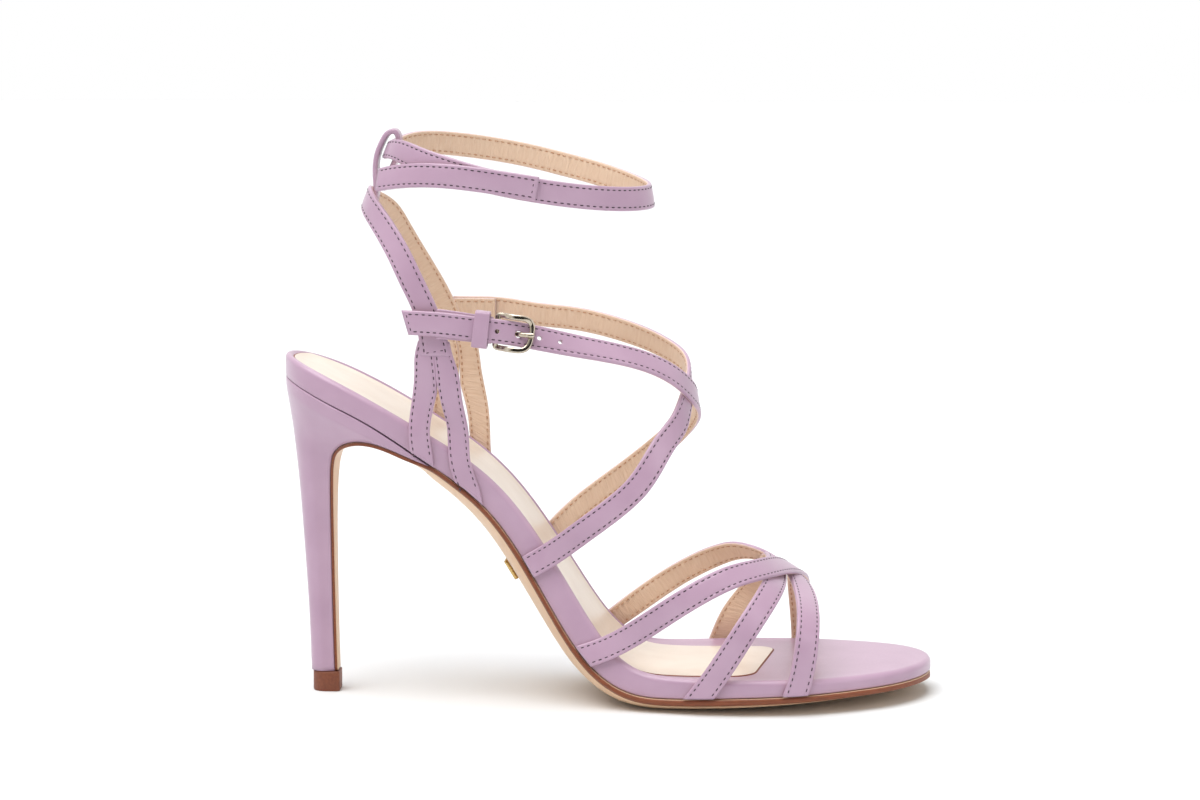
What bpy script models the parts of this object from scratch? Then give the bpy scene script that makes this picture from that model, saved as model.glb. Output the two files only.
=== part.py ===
"""Strappy high-heeled sandal, right shoe. Metres, +Z up, +X to the toe, +Y to the inner side.

The origin is the centre of the heel's flat bottom, on the floor.
Tables give shares of the sizes named first.
"""

import math

import bmesh
import bpy
import numpy as np

NAME = "strappy_sandal"

# Main sizes
SHOE_LENGTH = 0.217
HEEL_HEIGHT = 0.105
BALL_WIDTH = 0.075
SEAT_OVERHANG = 0.0127
FIT = 0.0003

# Sole and footbed
FOOTBED_THICK = 0.0066
RIM_ROUND = 0.0020
DISH_DEPTH = 0.0022
DISH_FROM = 0.0012
DISH_RUN = 0.0085
DISH_FADES = ((0.42, 0.62), (0.74, 0.86))
RIM_RINGS = ((0.15, 0.45), (0.55, 0.11), (0.95, 0.0))
FLAT_INSETS = (0.0034, 0.0065, 0.0105)
HEEL_ROUND = 0.022
TOE_ROUND = 0.045
UPRIGHT_SEAT = 0.050
EDGE_THICK = 0.0015
EDGE_OUT = 0.0010
CROWN = 0.0038
TREAD_FLAT = 0.0001
SEAT_DROP = 0.0064
FLAP_THICK = 0.0011
FLAP_GAP = 0.0006
SOCK_THICK = 0.0007
SOCK_INSET = 0.0026
SOCK_FIT = 0.0003
SOCK_LENGTH = 0.1612
SOCK_CORNER = 0.007
SOCK_SKEW = 0.16
SOLE_STATIONS = 44

# Heel
TOP_PIECE_HEIGHT = 0.0067
TOP_PIECE_LENGTH = 0.0093
TOP_PIECE_WIDTH = 0.0092
TOP_PIECE_BACK = TOP_PIECE_LENGTH / 2
TOP_PIECE_CORNER = 0.0012
HEEL_END = 0.252

# Straps
STRAP_WIDTH = 0.008
STRAP_THICK = 0.0016
LEG_WIDTH = 0.0070
STRAP_STEP = 0.0044
FOOT_SKIVE = 0.75
FOOT_GAP = 0.0006
TIP_SLANT = 0.0026
LAST_SQUARE = 0.62
LOOP_WIDTH = 0.008
LOOP_THICK = 0.0017

# Buckle, measured along the strap from its free tip
CHAPE_FROM = 0.0112
CHAPE_TO = 0.0298
CHAPE_WIDTH = 0.0098
CHAPE_THICK = 0.0013
KEEPER_AT = 0.0263
KEEPER_WIDTH = 0.0050
KEEPER_THICK = 0.0009
BAR_AT = 0.0312
FRAME_LENGTH = 0.0115
FRAME_WIDTH = 0.0106
WIRE_RADIUS = 0.0009
PRONG_RADIUS = 0.0007
PRONG_HOLE_AT = 0.0385
HOLE_PITCH = 0.0069
HOLE_RADIUS = 0.00075
PRONG_HOLE_RADIUS = 0.0011

# Plate under the waist
PLATE_ALONG = 0.412
PLATE_LENGTH = 0.0042
PLATE_WIDTH = 0.0110
PLATE_THICK = 0.0012

# Crest of the forefoot over the floor, and the seat's rise over it
FOREFOOT_TOP = EDGE_THICK + CROWN + FOOTBED_THICK - TREAD_FLAT
HEEL_RISE = HEEL_HEIGHT - SEAT_DROP

# Side line of the footbed's crest: share of the shoe's length from the seat, share of the heel's rise
SOLE_LINE = (
    (0.000, 1.053), (0.060, 1.000), (0.152, 0.898), (0.244, 0.777), (0.313, 0.669),
    (0.359, 0.565), (0.406, 0.421), (0.452, 0.258), (0.498, 0.108), (0.539, 0.030),
    (0.590, 0.004), (0.682, 0.001), (0.797, 0.000), (0.912, 0.000), (1.000, 0.000),
)

# Outline and thickness: along, centre, half width, footbed thickness, crown of the outsole
SOLE_SHAPE = (
    (0.00, 0.000, 0.320, 1.18, 0.20),
    (0.07, 0.000, 0.320, 1.23, 0.20),
    (0.15, -0.003, 0.344, 1.10, 0.30),
    (0.26, -0.013, 0.322, 1.25, 1.13),
    (0.38, -0.020, 0.300, 1.23, 1.43),
    (0.50, -0.020, 0.369, 1.34, 1.25),
    (0.59, -0.020, 0.447, 1.08, 1.00),
    (0.68, -0.016, 0.493, 0.92, 1.00),
    (0.775, 0.000, 0.497, 0.80, 0.80),
    (0.87, 0.033, 0.464, 0.70, 0.50),
    (0.94, 0.067, 0.460, 0.66, 0.35),
    (1.00, 0.113, 0.467, 0.64, 0.20),
)

# Heel downwards: breast forward and up, back line behind and up, half width, share of stem shape
HEEL_LINES = (
    (0.1370, 0.7880, 0.0582, 1.0000, 0.337, 0.03),
    (0.1120, 0.8100, 0.0578, 0.9900, 0.334, 0.08),
    (0.0880, 0.8250, 0.0570, 0.9760, 0.322, 0.15),
    (0.0650, 0.8290, 0.0555, 0.9560, 0.297, 0.25),
    (0.0480, 0.8230, 0.0535, 0.9310, 0.268, 0.35),
    (0.0330, 0.8090, 0.0515, 0.9010, 0.228, 0.50),
    (0.0205, 0.7820, 0.0490, 0.8660, 0.182, 0.65),
    (0.0155, 0.7500, 0.0468, 0.8270, 0.150, 0.80),
    (0.0130, 0.7000, 0.0440, 0.7700, 0.122, 0.92),
    (0.0118, 0.6200, 0.0400, 0.6800, 0.096, 1.00),
    (0.0115, 0.4950, 0.0345, 0.5200, 0.076, 1.00),
    (0.0124, 0.3000, 0.0280, 0.3000, 0.066, 1.00),
    (0.0134, 0.1700, 0.0255, 0.1700, 0.062, 1.00),
    (0.0145, 0.0700, 0.0240, 0.0700, 0.060, 1.00),
)

# Sections of the last, toe to ankle: back forward and up, front forward and up, outer and inner half width
LAST = (
    (0.920, 0.105, 0.930, 0.133, 0.107, 0.107),
    (0.820, 0.105, 0.816, 0.290, 0.360, 0.400),
    (0.737, 0.105, 0.737, 0.352, 0.475, 0.465),
    (0.645, 0.108, 0.682, 0.433, 0.520, 0.480),
    (0.553, 0.113, 0.641, 0.533, 0.510, 0.460),
    (0.461, 0.180, 0.608, 0.667, 0.470, 0.425),
    (0.392, 0.352, 0.583, 0.810, 0.430, 0.395),
    (0.313, 0.590, 0.566, 0.938, 0.400, 0.380),
    (0.207, 0.790, 0.558, 1.067, 0.385, 0.370),
    (0.069, 0.962, 0.544, 1.210, 0.373, 0.367),
    (0.005, 1.190, 0.532, 1.343, 0.360, 0.360),
    (0.043, 1.410, 0.516, 1.467, 0.360, 0.360),
    (0.073, 1.590, 0.503, 1.571, 0.360, 0.360),
    (0.109, 1.762, 0.496, 1.676, 0.367, 0.367),
    (0.116, 1.900, 0.493, 1.780, 0.370, 0.370),
)

# Strap rows: station on the last, turn from the front (outer side negative), lift and width as shares
TOE_REAR = (
    (4.80, -104.3, 0.0, 1.0), (4.42, -85.4, 0.0, 1.0), (3.84, -56.5, 0.2, 1.0),
    (3.30, -37.7, 1.0, 1.0), (2.79, -15.7, 1.6, 1.0), (2.43, 4.0, 1.6, 1.0), (2.17, 26.0, 1.2, 1.0),
    (2.00, 70.0, 0.1, 1.0),
)
TOE_MIDDLE = (
    (3.18, -91.3, 0.0, 1.0), (2.85, -51.3, 0.0, 1.0), (2.68, -12.0, 0.0, 1.0), (2.80, 40.0, 0.0, 1.0),
    (3.03, 90.0, 0.0, 1.0), (3.26, 107.0, 0.0, 1.0),
)
TOE_FRONT = (
    (1.90, -78.0, 0.0, 1.0), (1.91, -26.9, 0.0, 1.0), (2.13, 0.0, 0.6, 1.0), (2.60, 27.0, 0.8, 1.0),
    (3.17, 46.0, 0.7, 1.0), (3.59, 54.3, 0.1, 1.0), (3.98, 69.6, 0.0, 1.0), (4.26, 83.0, 0.0, 1.0),
    (4.62, 95.6, 0.0, 1.0), (4.90, 115.9, 0.0, 1.0),
)
INSTEP_UNDER = (
    (6.50, -109.4, 0.0, 1.0), (6.46, -91.8, 0.0, 1.0), (6.47, -76.6, 0.0, 1.0), (6.73, -49.6, 0.0, 1.0),
    (6.86, -34.3, 0.0, 1.0), (7.13, -21.7, 0.0, 1.0), (7.50, -6.0, 0.0, 1.0), (7.92, 12.6, 0.0, 1.0),
    (8.23, 27.6, 0.0, 1.0), (8.55, 40.1, 0.0, 1.0), (8.93, 53.6, 0.0, 1.0), (9.29, 68.3, 0.2, 1.0),
    (9.52, 82.2, 0.8, 1.0), (9.70, 90.5, 1.25, 1.0), (9.79, 95.5, 1.25, 1.0), (9.84, 100.5, 1.25, 1.0),
)
INSTEP_OVER = (
    (9.94, -112.0, 2.25, 1.0), (9.82, -98.4, 2.25, 1.0), (9.65, -90.9, 2.25, 1.0), (9.52, -85.9, 2.25, 1.0),
    (9.34, -78.3, 2.0, 1.0), (9.06, -68.0, 1.4, 1.0), (8.70, -54.6, 0.9, 1.0), (8.33, -42.3, 0.8, 1.0),
    (7.96, -31.6, 0.8, 1.0), (7.40, -14.5, 0.8, 1.0), (6.92, 6.0, 0.8, 1.0), (6.56, 36.0, 0.1, 1.0),
    (6.48, 64.0, 0.0, 1.0), (6.50, 86.0, 0.0, 1.0), (6.55, 101.6, 0.0, 1.0), (6.57, 118.3, 0.0, 1.0),
)
# How far the upper instep strap leans inwards at its top edge: turn, share of upright added
INSTEP_LEAN = ((-85.0, 0.0), (-70.0, 0.45), (-55.0, 0.6), (-38.0, 0.5), (-20.0, 0.1), (0.0, 0.0))
QUARTER_BAND = (
    (9.46, -103.1, 0.0, 1.26), (9.80, -102.9, 0.0, 1.10), (10.10, -105.6, 0.0, 1.0), (10.58, -115.5, 0.0, 1.0),
    (11.00, -127.1, 0.0, 1.0), (11.39, -139.1, 0.0, 1.0), (11.68, -150.5, 0.0, 1.0), (11.90, -165.0, 0.0, 1.0),
    (11.98, -180.0, 0.0, 1.0), (11.88, -196.0, 0.0, 1.0), (11.68, -211.6, 0.0, 1.0), (11.33, -222.2, 0.0, 1.0),
    (10.67, -240.9, 0.0, 1.0), (10.17, -252.9, 0.0, 1.0), (9.80, -257.3, 0.0, 1.10), (9.34, -258.1, 0.0, 1.26),
)
OUTER_FRONT_LEG = (
    (8.30, -127.0, 0.0, 1.04), (8.74, -110.5, 0.0, 1.0), (9.10, -103.2, 0.0, 1.0), (9.56, -100.9, 0.0, 0.95),
)
OUTER_REAR_LEG = ((8.80, -123.5, 0.0, 1.03), (9.22, -109.0, 0.0, 1.12), (9.58, -103.9, 0.0, 1.10))
INNER_FRONT_LEG = (
    (8.29, 122.3, 0.0, 1.0), (8.87, 104.8, 0.0, 1.0), (9.28, 99.6, 0.0, 1.0), (9.46, 99.4, 0.0, 0.95),
)
INNER_REAR_LEG = ((8.74, 120.5, 0.0, 1.0), (9.12, 107.5, 0.0, 1.0), (9.48, 103.6, 0.0, 0.95))
INNER_TAB = ((9.85, 104.0, 0.0, 0.95), (9.80, 97.5, 0.0, 0.95), (9.71, 91.0, 0.0, 0.95))
ANKLE_RING = (
    (12.83, -180.0, 0.0, 0.76), (12.88, -164.0, 0.0, 0.80), (12.88, -151.0, 0.0, 0.93), (12.79, -136.0, 0.0, 1.0),
    (12.67, -119.0, 0.0, 1.0), (12.54, -103.0, 0.0, 1.0), (12.36, -77.5, 0.0, 1.0), (12.23, -52.0, 0.0, 1.0),
    (12.19, -28.0, 0.0, 1.0), (12.24, 0.0, 0.0, 1.0), (12.36, 22.0, 0.0, 1.0), (12.52, 39.0, 0.0, 1.0),
    (12.67, 54.0, 0.0, 1.0), (12.81, 71.0, 0.0, 1.0), (12.92, 86.0, 0.0, 1.0), (12.99, 101.0, 0.0, 1.0),
    (13.03, 128.0, 0.0, 1.0), (12.97, 152.0, 0.0, 0.90),
)
ANKLE_STAY = (
    (12.30, -155.5, 1.3, 1.0), (12.40, -143.0, 1.3, 1.0), (12.51, -124.0, 1.3, 1.0), (12.52, -102.0, 1.3, 1.0),
    (12.47, -88.5, 1.3, 1.0), (12.41, -77.8, 1.3, 1.0),
)

# Feet of the straps: side, share of the length at the rim's top and under the sole
FEET = {
    "toe rear outer": (-1, 0.503, 0.491),
    "toe rear inner": (1, 0.803, 0.803),
    "toe middle outer": (-1, 0.657, 0.624),
    "toe middle inner": (1, 0.671, 0.653),
    "toe front outer": (-1, 0.790, 0.777),
    "toe front inner": (1, 0.507, 0.504),
    "instep under outer": (-1, 0.4135, 0.4124),
    "instep over inner": (1, 0.4132, 0.422),
    "front leg outer": (-1, 0.282, 0.344),
    "rear leg outer": (-1, 0.221, 0.257),
    "front leg inner": (1, 0.296, 0.339),
    "rear leg inner": (1, 0.235, 0.271),
}

# Side line of the back loop, from its outer foot over the top to its inner foot: forward, up
LOOP_LINE = (
    (0.0800, 1.555), (0.0836, 1.600), (0.0836, 1.640), (0.0832, 1.685), (0.0868, 1.730), (0.0955, 1.772),
    (0.1050, 1.795), (0.1135, 1.797), (0.1190, 1.775), (0.1190, 1.735), (0.1130, 1.703), (0.1035, 1.666),
    (0.0965, 1.638), (0.0942, 1.612),
)


# Curves and surfaces


def smooth(rows, at):
    """Natural cubic spline through rows whose first column is the key, straight beyond the ends."""
    rows = np.asarray(rows, float)
    keys, values = rows[:, 0], rows[:, 1:]
    at = np.asarray(at, float)
    gap = np.diff(keys)
    count = len(keys)
    system = np.eye(count)
    right = np.zeros_like(values)
    for i in range(1, count - 1):
        system[i, i - 1 : i + 2] = gap[i - 1], 2 * (gap[i - 1] + gap[i]), gap[i]
        right[i] = 6 * ((values[i + 1] - values[i]) / gap[i] - (values[i] - values[i - 1]) / gap[i - 1])
    bend = np.linalg.solve(system, right)
    cell = np.clip(np.searchsorted(keys, at) - 1, 0, count - 2)
    inside = np.clip(at, keys[0], keys[-1])
    h = gap[cell][..., None]
    a = (keys[cell + 1] - inside)[..., None]
    b = (inside - keys[cell])[..., None]
    low, high, bend_low, bend_high = values[cell], values[cell + 1], bend[cell], bend[cell + 1]
    slope_low, slope_high = low / h - bend_low * h / 6, high / h - bend_high * h / 6
    value = (bend_low * a**3 + bend_high * b**3) / (6 * h) + slope_low * a + slope_high * b
    slope = (bend_high * b**2 - bend_low * a**2) / (2 * h) - slope_low + slope_high
    return value + slope * (at - inside)[..., None]


def ease(x):
    """Smooth step from 0 to 1."""
    x = np.clip(x, 0.0, 1.0)
    return x * x * (3 - 2 * x)


def unit(v):
    return v / np.maximum(np.linalg.norm(v, axis=-1, keepdims=True), 1e-12)


def spaced(count, first=0.0, last=1.0):
    """Shares that crowd towards both ends."""
    u = np.linspace(0, 1, count)
    return first + (last - first) * (0.8 * (1 - np.cos(np.pi * u)) / 2 + 0.2 * u)


def sole_point(along, y, height):
    """Point over the footbed's crest line; walls stand upright at the seat, square to the line further on."""
    along = np.asarray(along, float)
    step = 1e-4
    rise = smooth(SOLE_LINE, np.stack([along - step, along, along + step]))[..., 0]
    slope = np.arctan2(HEEL_RISE * (rise[2] - rise[0]), 2 * step * SHOE_LENGTH)
    lean = -slope * ease(along * SHOE_LENGTH / UPRIGHT_SEAT)
    x = along * SHOE_LENGTH - SEAT_OVERHANG + height * np.sin(lean)
    z = FOREFOOT_TOP + HEEL_RISE * rise[1] + height * np.cos(lean)
    return np.stack([x, y + 0 * x, z], -1)


def sole_shape(along):
    """Centre, half width, footbed thickness and outsole crown."""
    centre, half, thick, crown = np.moveaxis(smooth(SOLE_SHAPE, along), -1, 0)
    back = np.clip(along * SHOE_LENGTH / HEEL_ROUND, 0, 1)
    front = np.clip((1 - along) * SHOE_LENGTH / TOE_ROUND, 0, 1)
    ends = np.sqrt(1 - (1 - back) ** 2) * np.sqrt(1 - (1 - front) ** 2)
    return centre * BALL_WIDTH, half * BALL_WIDTH * ends, thick * FOOTBED_THICK, crown * CROWN


def sole_loop(count, out=0.0):
    """Footbed outline as along and across, outer side forwards then inner side back, moved outwards."""
    along = spaced(count)
    centre, half = sole_shape(along)[:2]
    flat = np.concatenate(
        [
            np.stack([along * SHOE_LENGTH, centre - half], -1),
            np.stack([along * SHOE_LENGTH, centre + half], -1)[-2:0:-1],
        ]
    )
    run = unit(np.roll(flat, -1, 0) - np.roll(flat, 1, 0))
    moved = flat + out * np.stack([run[:, 1], -run[:, 0]], -1)
    return moved[:, 0] / SHOE_LENGTH, moved[:, 1]


def dish(along, across):
    """Depth of the hollow: a parabola of the distance to the rim; half past the arch, none at the toe."""
    rim_along, rim_across = sole_loop(140)
    gap = np.hypot(
        (np.ravel(along)[:, None] - rim_along) * SHOE_LENGTH,
        np.ravel(across)[:, None] - rim_across,
    )
    inwards = gap.min(1).reshape(np.shape(along))
    fade = sum(ease((np.asarray(along) - start) / (end - start)) for start, end in DISH_FADES)
    return -DISH_DEPTH * (1 - fade / 2) * (1 - (1 - np.clip((inwards - DISH_FROM) / DISH_RUN, 0, 1)) ** 2)


def last_point(station, turn):
    """Point on the last: a row of sections, each an oval, squarer in its lower half."""
    rows = np.column_stack([np.arange(len(LAST)), np.asarray(LAST)])
    row = smooth(rows, station)
    back = row[..., 0:2] * (SHOE_LENGTH, HEEL_HEIGHT)
    front = row[..., 2:4] * (SHOE_LENGTH, HEEL_HEIGHT)
    c, s = np.cos(np.radians(turn)), np.sin(np.radians(turn))
    square = 1 - (1 - LAST_SQUARE) * ease((12.0 - np.asarray(station)) / 3.0)
    power = np.where(c < 0, square, 1.0)
    c, s = np.sign(c) * np.abs(c) ** power, np.sign(s) * np.abs(s) ** power
    side = (back + front) / 2 + (front - back) / 2 * c[..., None]
    across = s * np.where(s < 0, row[..., 4], row[..., 5]) * BALL_WIDTH
    return np.stack([side[..., 0], across, side[..., 1]], -1)


def last_normal(station, turn):
    """Direction off the last."""
    up = last_point(station + 1e-3, turn) - last_point(station - 1e-3, turn)
    round_ = last_point(station, turn + 0.5) - last_point(station, turn - 0.5)
    normal = unit(np.cross(up, round_))
    middle = (last_point(station, 0 * turn) + last_point(station, 0 * turn + 180.0)) / 2
    out = last_point(station, turn) - middle
    return normal * np.sign((normal * out).sum(-1, keepdims=True))


def sole_height(point):
    """Height of a point over the crest line, and the share of the length where it stands."""
    along = np.linspace(0.02, 0.98, 600)
    base = sole_point(along, 0.0, 0.0)[:, ::2]
    wall = sole_point(along, 0.0, 1.0)[:, ::2] - base
    rel = point[[0, 2]] - base
    cross = rel[:, 0] * wall[:, 1] - rel[:, 1] * wall[:, 0]
    turns = np.flatnonzero(np.diff(np.sign(cross)))
    best = turns[np.argmin(np.linalg.norm(rel[turns], axis=1))]
    share = cross[best] / (cross[best] - cross[best + 1])
    at = along[best] + share * (along[1] - along[0])
    return (rel[best] * wall[best]).sum() * (1 - share) + (rel[best + 1] * wall[best + 1]).sum() * share, at


# Straps


def foot_rows(foot):
    """Three places of a strap's foot, from the rim's top to under the sole, and the wall's direction there."""
    side, top, under = foot
    along = np.array([top, (top + under) / 2, under])
    step = 1e-3
    out = FOOT_GAP + STRAP_THICK * FOOT_SKIVE / 2
    centre, half, thick = sole_shape(along)[:3]
    before, after = sole_shape(along - step), sole_shape(along + step)
    spread = ((after[0] + side * after[1]) - (before[0] + side * before[1])) / (2 * step * SHOE_LENGTH)
    height = np.array([-0.0016, -0.0033 - thick[1] / 2, -thick[2] - 0.005])
    run = unit(sole_point(along + step, 0.0, height) - sole_point(along - step, 0.0, height))
    wall = unit(side * np.array([0.0, 1.0, 0.0]) - side * spread[:, None] * run)
    return sole_point(along, centre + side * half, height) + out * wall, wall


class Strap:
    """A flat strap along rows on the last; an end with a foot runs down the rim to just over the outsole."""

    def __init__(
        self, rows, first=None, last=None, width=STRAP_WIDTH, thick=STRAP_THICK, closed=False, slant=0.0,
        lean=((0.0, 0.0),),
    ):
        rows = np.asarray(rows, float)
        if closed:
            turn = np.array([0.0, 360.0, 0.0, 0.0])
            rows = np.concatenate([rows[-3:] - turn, rows, rows[:4] + turn])
        station, angle, lift, wide = rows.T
        normal = last_normal(station, angle)
        centre = last_point(station, angle) + normal * ((lift + 0.5) * STRAP_THICK)[:, None]
        normal = unit(normal + np.interp(angle, *np.transpose(lean))[:, None] * (0.0, 0.0, 1.0))
        skive = np.ones(len(rows))
        if first:
            spot, wall = foot_rows(FEET[first])
            centre, normal = np.concatenate([spot[::-1], centre]), np.concatenate([wall[::-1], normal])
            wide, skive = np.concatenate([[1, 1, 1], wide]), np.concatenate([[FOOT_SKIVE] * 3, skive])
        if last:
            spot, wall = foot_rows(FEET[last])
            centre, normal = np.concatenate([centre, spot]), np.concatenate([normal, wall])
            wide, skive = np.concatenate([wide, [1, 1, 1]]), np.concatenate([skive, [FOOT_SKIVE] * 3])
        key = np.concatenate([[0], np.cumsum(np.linalg.norm(np.diff(centre, axis=0), axis=1))])
        self.table = np.column_stack([key, centre, normal, wide * width, skive * thick])
        self.closed, self.slant = closed, slant
        self.start, self.end = (key[3], key[-4]) if closed else (key[0], key[-1])
        self.cut = [self.trim(key[0], key[3]) if first else None]
        self.cut.append(self.trim(key[-1], key[-4]) if last else None)

    def frame(self, at):
        """Centre, run, side, outward direction, width and thickness at a length."""
        row = smooth(self.table, at)
        before, ahead = (smooth(self.table, np.asarray(at) + step)[..., 0:3] for step in (-1e-4, 1e-4))
        run = unit(ahead - before)
        out = unit(row[..., 3:6] - run * (row[..., 3:6] * run).sum(-1, keepdims=True))
        return row[..., 0:3], run, np.cross(out, run), out, row[..., 6], row[..., 7]

    def trim(self, low, high):
        """Length at which each edge of the foot meets the line just over the outsole, low end first."""
        cuts = []
        for edge in (-0.5, 0.5):
            a, b = low, high
            for _ in range(30):
                middle = (a + b) / 2
                centre, _, side, out, width, thick = self.frame(middle)
                height, along = sole_height(centre + side * width * edge - out * thick / 2)
                under = height < -sole_shape(along)[2] + FIT
                a, b = (middle, b) if under else (a, middle)
            cuts.append((a + b) / 2)
        return cuts

    def rings(self, section=None, step=STRAP_STEP):
        """Cross-sections along the strap, each a row of points round it."""
        count = max(3, int(math.ceil((self.end - self.start) / step)) + 1)
        share = np.linspace(0, 1, count)[:, None]
        across, up = (np.asarray(section) if section is not None else strap_section()).T
        edge = across * 2
        first, last = self.cut
        start = self.start + edge * 0 if first is None else np.interp(edge, (-1, 1), first)
        end = self.end + edge * 0 if last is None else np.interp(edge, (-1, 1), last)
        if first is None and not self.closed:
            start = start + self.slant * (1 - edge) / 2
        at = start + (end - start) * share
        centre, _, side, out, width, thick = self.frame(at)
        return centre + side * (across * width)[..., None] + out * (up * thick)[..., None]

    def place(self, length, across, up):
        """Point at a length from the start, across the strap and over its outer face."""
        centre, _, side, out, _, thick = self.frame(self.start + np.asarray(length, float))
        return centre + side * np.asarray(across)[..., None] + out * (np.asarray(up) + thick / 2)[..., None]


def strap_section(bevel=0.28):
    """Section with broken edges, as shares of width and thickness."""
    x, y = 0.5, 0.5
    cut = x - bevel * STRAP_THICK / STRAP_WIDTH
    low = y - bevel
    return np.array([(-cut, y), (cut, y), (x, low), (x, -low), (cut, -y), (-cut, -y), (-x, -low), (-x, low)])


# Meshes


def link(obj, collection):
    collection.objects.link(obj)
    return obj


def make(name, points, faces, material, smooth_sides=True):
    """Object from points and faces, its faces turned outwards."""
    mesh = bpy.data.meshes.new(name)
    mesh.from_pydata(np.asarray(points).tolist(), [], faces)
    work = bmesh.new()
    work.from_mesh(mesh)
    bmesh.ops.remove_doubles(work, verts=work.verts, dist=1e-6)
    bmesh.ops.recalc_face_normals(work, faces=work.faces)
    work.to_mesh(mesh)
    work.free()
    mesh.materials.append(material)
    for polygon in mesh.polygons:
        polygon.use_smooth = smooth_sides
    obj = bpy.data.objects.new(name, mesh)
    return link(obj, PARTS)


def skin(rings, closed=False, caps="fan"):
    """Faces between rings; caps are one face, or a strip that pairs the two sides of the ring."""
    rings = np.asarray(rings)
    rows, round_ = rings.shape[:2]
    faces = []
    for i in range(rows if closed else rows - 1):
        j = (i + 1) % rows
        for k in range(round_):
            m = (k + 1) % round_
            faces.append((i * round_ + k, i * round_ + m, j * round_ + m, j * round_ + k))
    if not closed:
        for base in (0, (rows - 1) * round_):
            if caps == "fan":
                faces.append(tuple(base + k for k in range(round_)))
                continue
            half = round_ // 2
            for k in range(half):
                ends = (k, k + 1, (round_ - k - 1) % round_, (round_ - k) % round_)
                corners = [base + c for c in dict.fromkeys(ends)]
                if len(corners) > 2:
                    faces.append(tuple(corners))
    return rings.reshape(-1, 3), faces


def strap_object(name, strap, material, **options):
    points, faces = skin(strap.rings(**options), closed=strap.closed)
    return make(name, points, faces, material)


def join(first, others):
    """Union of straps that cross."""
    for other in others:
        change = first.modifiers.new("join", "BOOLEAN")
        change.operation, change.solver, change.object = "UNION", "EXACT", other
        bake(first)
        bpy.data.objects.remove(other, do_unlink=True)
    return first


def bake(obj):
    """Puts the modifiers into the mesh."""
    bpy.context.view_layer.update()
    graph = bpy.context.evaluated_depsgraph_get()
    mesh = bpy.data.meshes.new_from_object(obj.evaluated_get(graph), depsgraph=graph)
    obj.modifiers.clear()
    obj.data = mesh


def tube(line, radius, sides=10, closed=False):
    """Round wire along a line."""
    line = np.asarray(line)
    if closed:
        run = unit(np.roll(line, -1, 0) - np.roll(line, 1, 0))
    else:
        run = unit(np.gradient(line, axis=0))
    flat = np.linalg.svd(line - line.mean(0))[2][2]
    side = unit(np.cross(run, flat))
    up = np.cross(side, run)
    turn = np.linspace(0, 2 * math.pi, sides, endpoint=False)
    radius = np.broadcast_to(radius, len(line))[:, None, None]
    ring = side[:, None] * np.cos(turn)[:, None] + up[:, None] * np.sin(turn)[:, None]
    return skin(line[:, None] + radius * ring, closed=closed)


# Pieces


def footbed():
    """Covered insole: nested outlines over the crest line, with a rounded rim and a hollow."""
    low = -sole_shape(np.clip(sole_loop(SOLE_STATIONS)[0], 0, 1))[2]
    rings = [sole_point(*sole_loop(SOLE_STATIONS), low), sole_point(*sole_loop(SOLE_STATIONS), -RIM_ROUND)]
    for inset, drop in RIM_RINGS:
        rings.append(sole_point(*sole_loop(SOLE_STATIONS, -inset * RIM_ROUND), -drop * RIM_ROUND))
    for inset in FLAT_INSETS:
        along, across = sole_loop(SOLE_STATIONS, -inset)
        rings.append(sole_point(along, across, dish(along, across)))
    points, faces = skin(rings, caps="strip")
    return make("footbed", points, faces, LILAC)


def sock():
    """Thin sheet in the hollow, its front edge square with rounded corners."""
    back, front = SOCK_INSET / SHOE_LENGTH, SOCK_LENGTH / SHOE_LENGTH
    along = spaced(34, back, front)
    centre, half = sole_shape(along)[:2]
    seat = np.clip((along - back) * SHOE_LENGTH / HEEL_ROUND, 0, 1)
    half = np.minimum(half - SOCK_INSET, sole_shape(0.15)[1] * np.sqrt(1 - (1 - seat) ** 2) + 0 * half)
    corner = np.clip((front - along) * SHOE_LENGTH / SOCK_CORNER, 0, 1)
    half = half - SOCK_CORNER * (1 - np.sqrt(1 - (1 - corner) ** 2))
    half[0] = 0.0
    rings = []
    for share in (1.0, 0.86, 0.66, 0.36):
        ends = (1 - share) * 0.012 / SHOE_LENGTH
        at = back + ends + (along - back) * (1 - 2 * ends / (front - back))
        a = np.concatenate([at, at[-1:0:-1]])
        y = np.concatenate([centre - share * half, (centre + share * half)[-1:0:-1]])
        a = a + SOCK_SKEW * y / SHOE_LENGTH * ease((a - 0.45) / (front - 0.45))
        rings.append((a, y))
    lift = FIT + SOCK_FIT
    sheet = [sole_point(a, y, dish(a, y) + lift + SOCK_THICK) for a, y in rings[::-1]]
    sheet += [sole_point(a, y, dish(a, y) + lift) for a, y in rings]
    points, faces = skin(sheet, caps="strip")
    return make("sock_lining", points, faces, SOCK)


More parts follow.
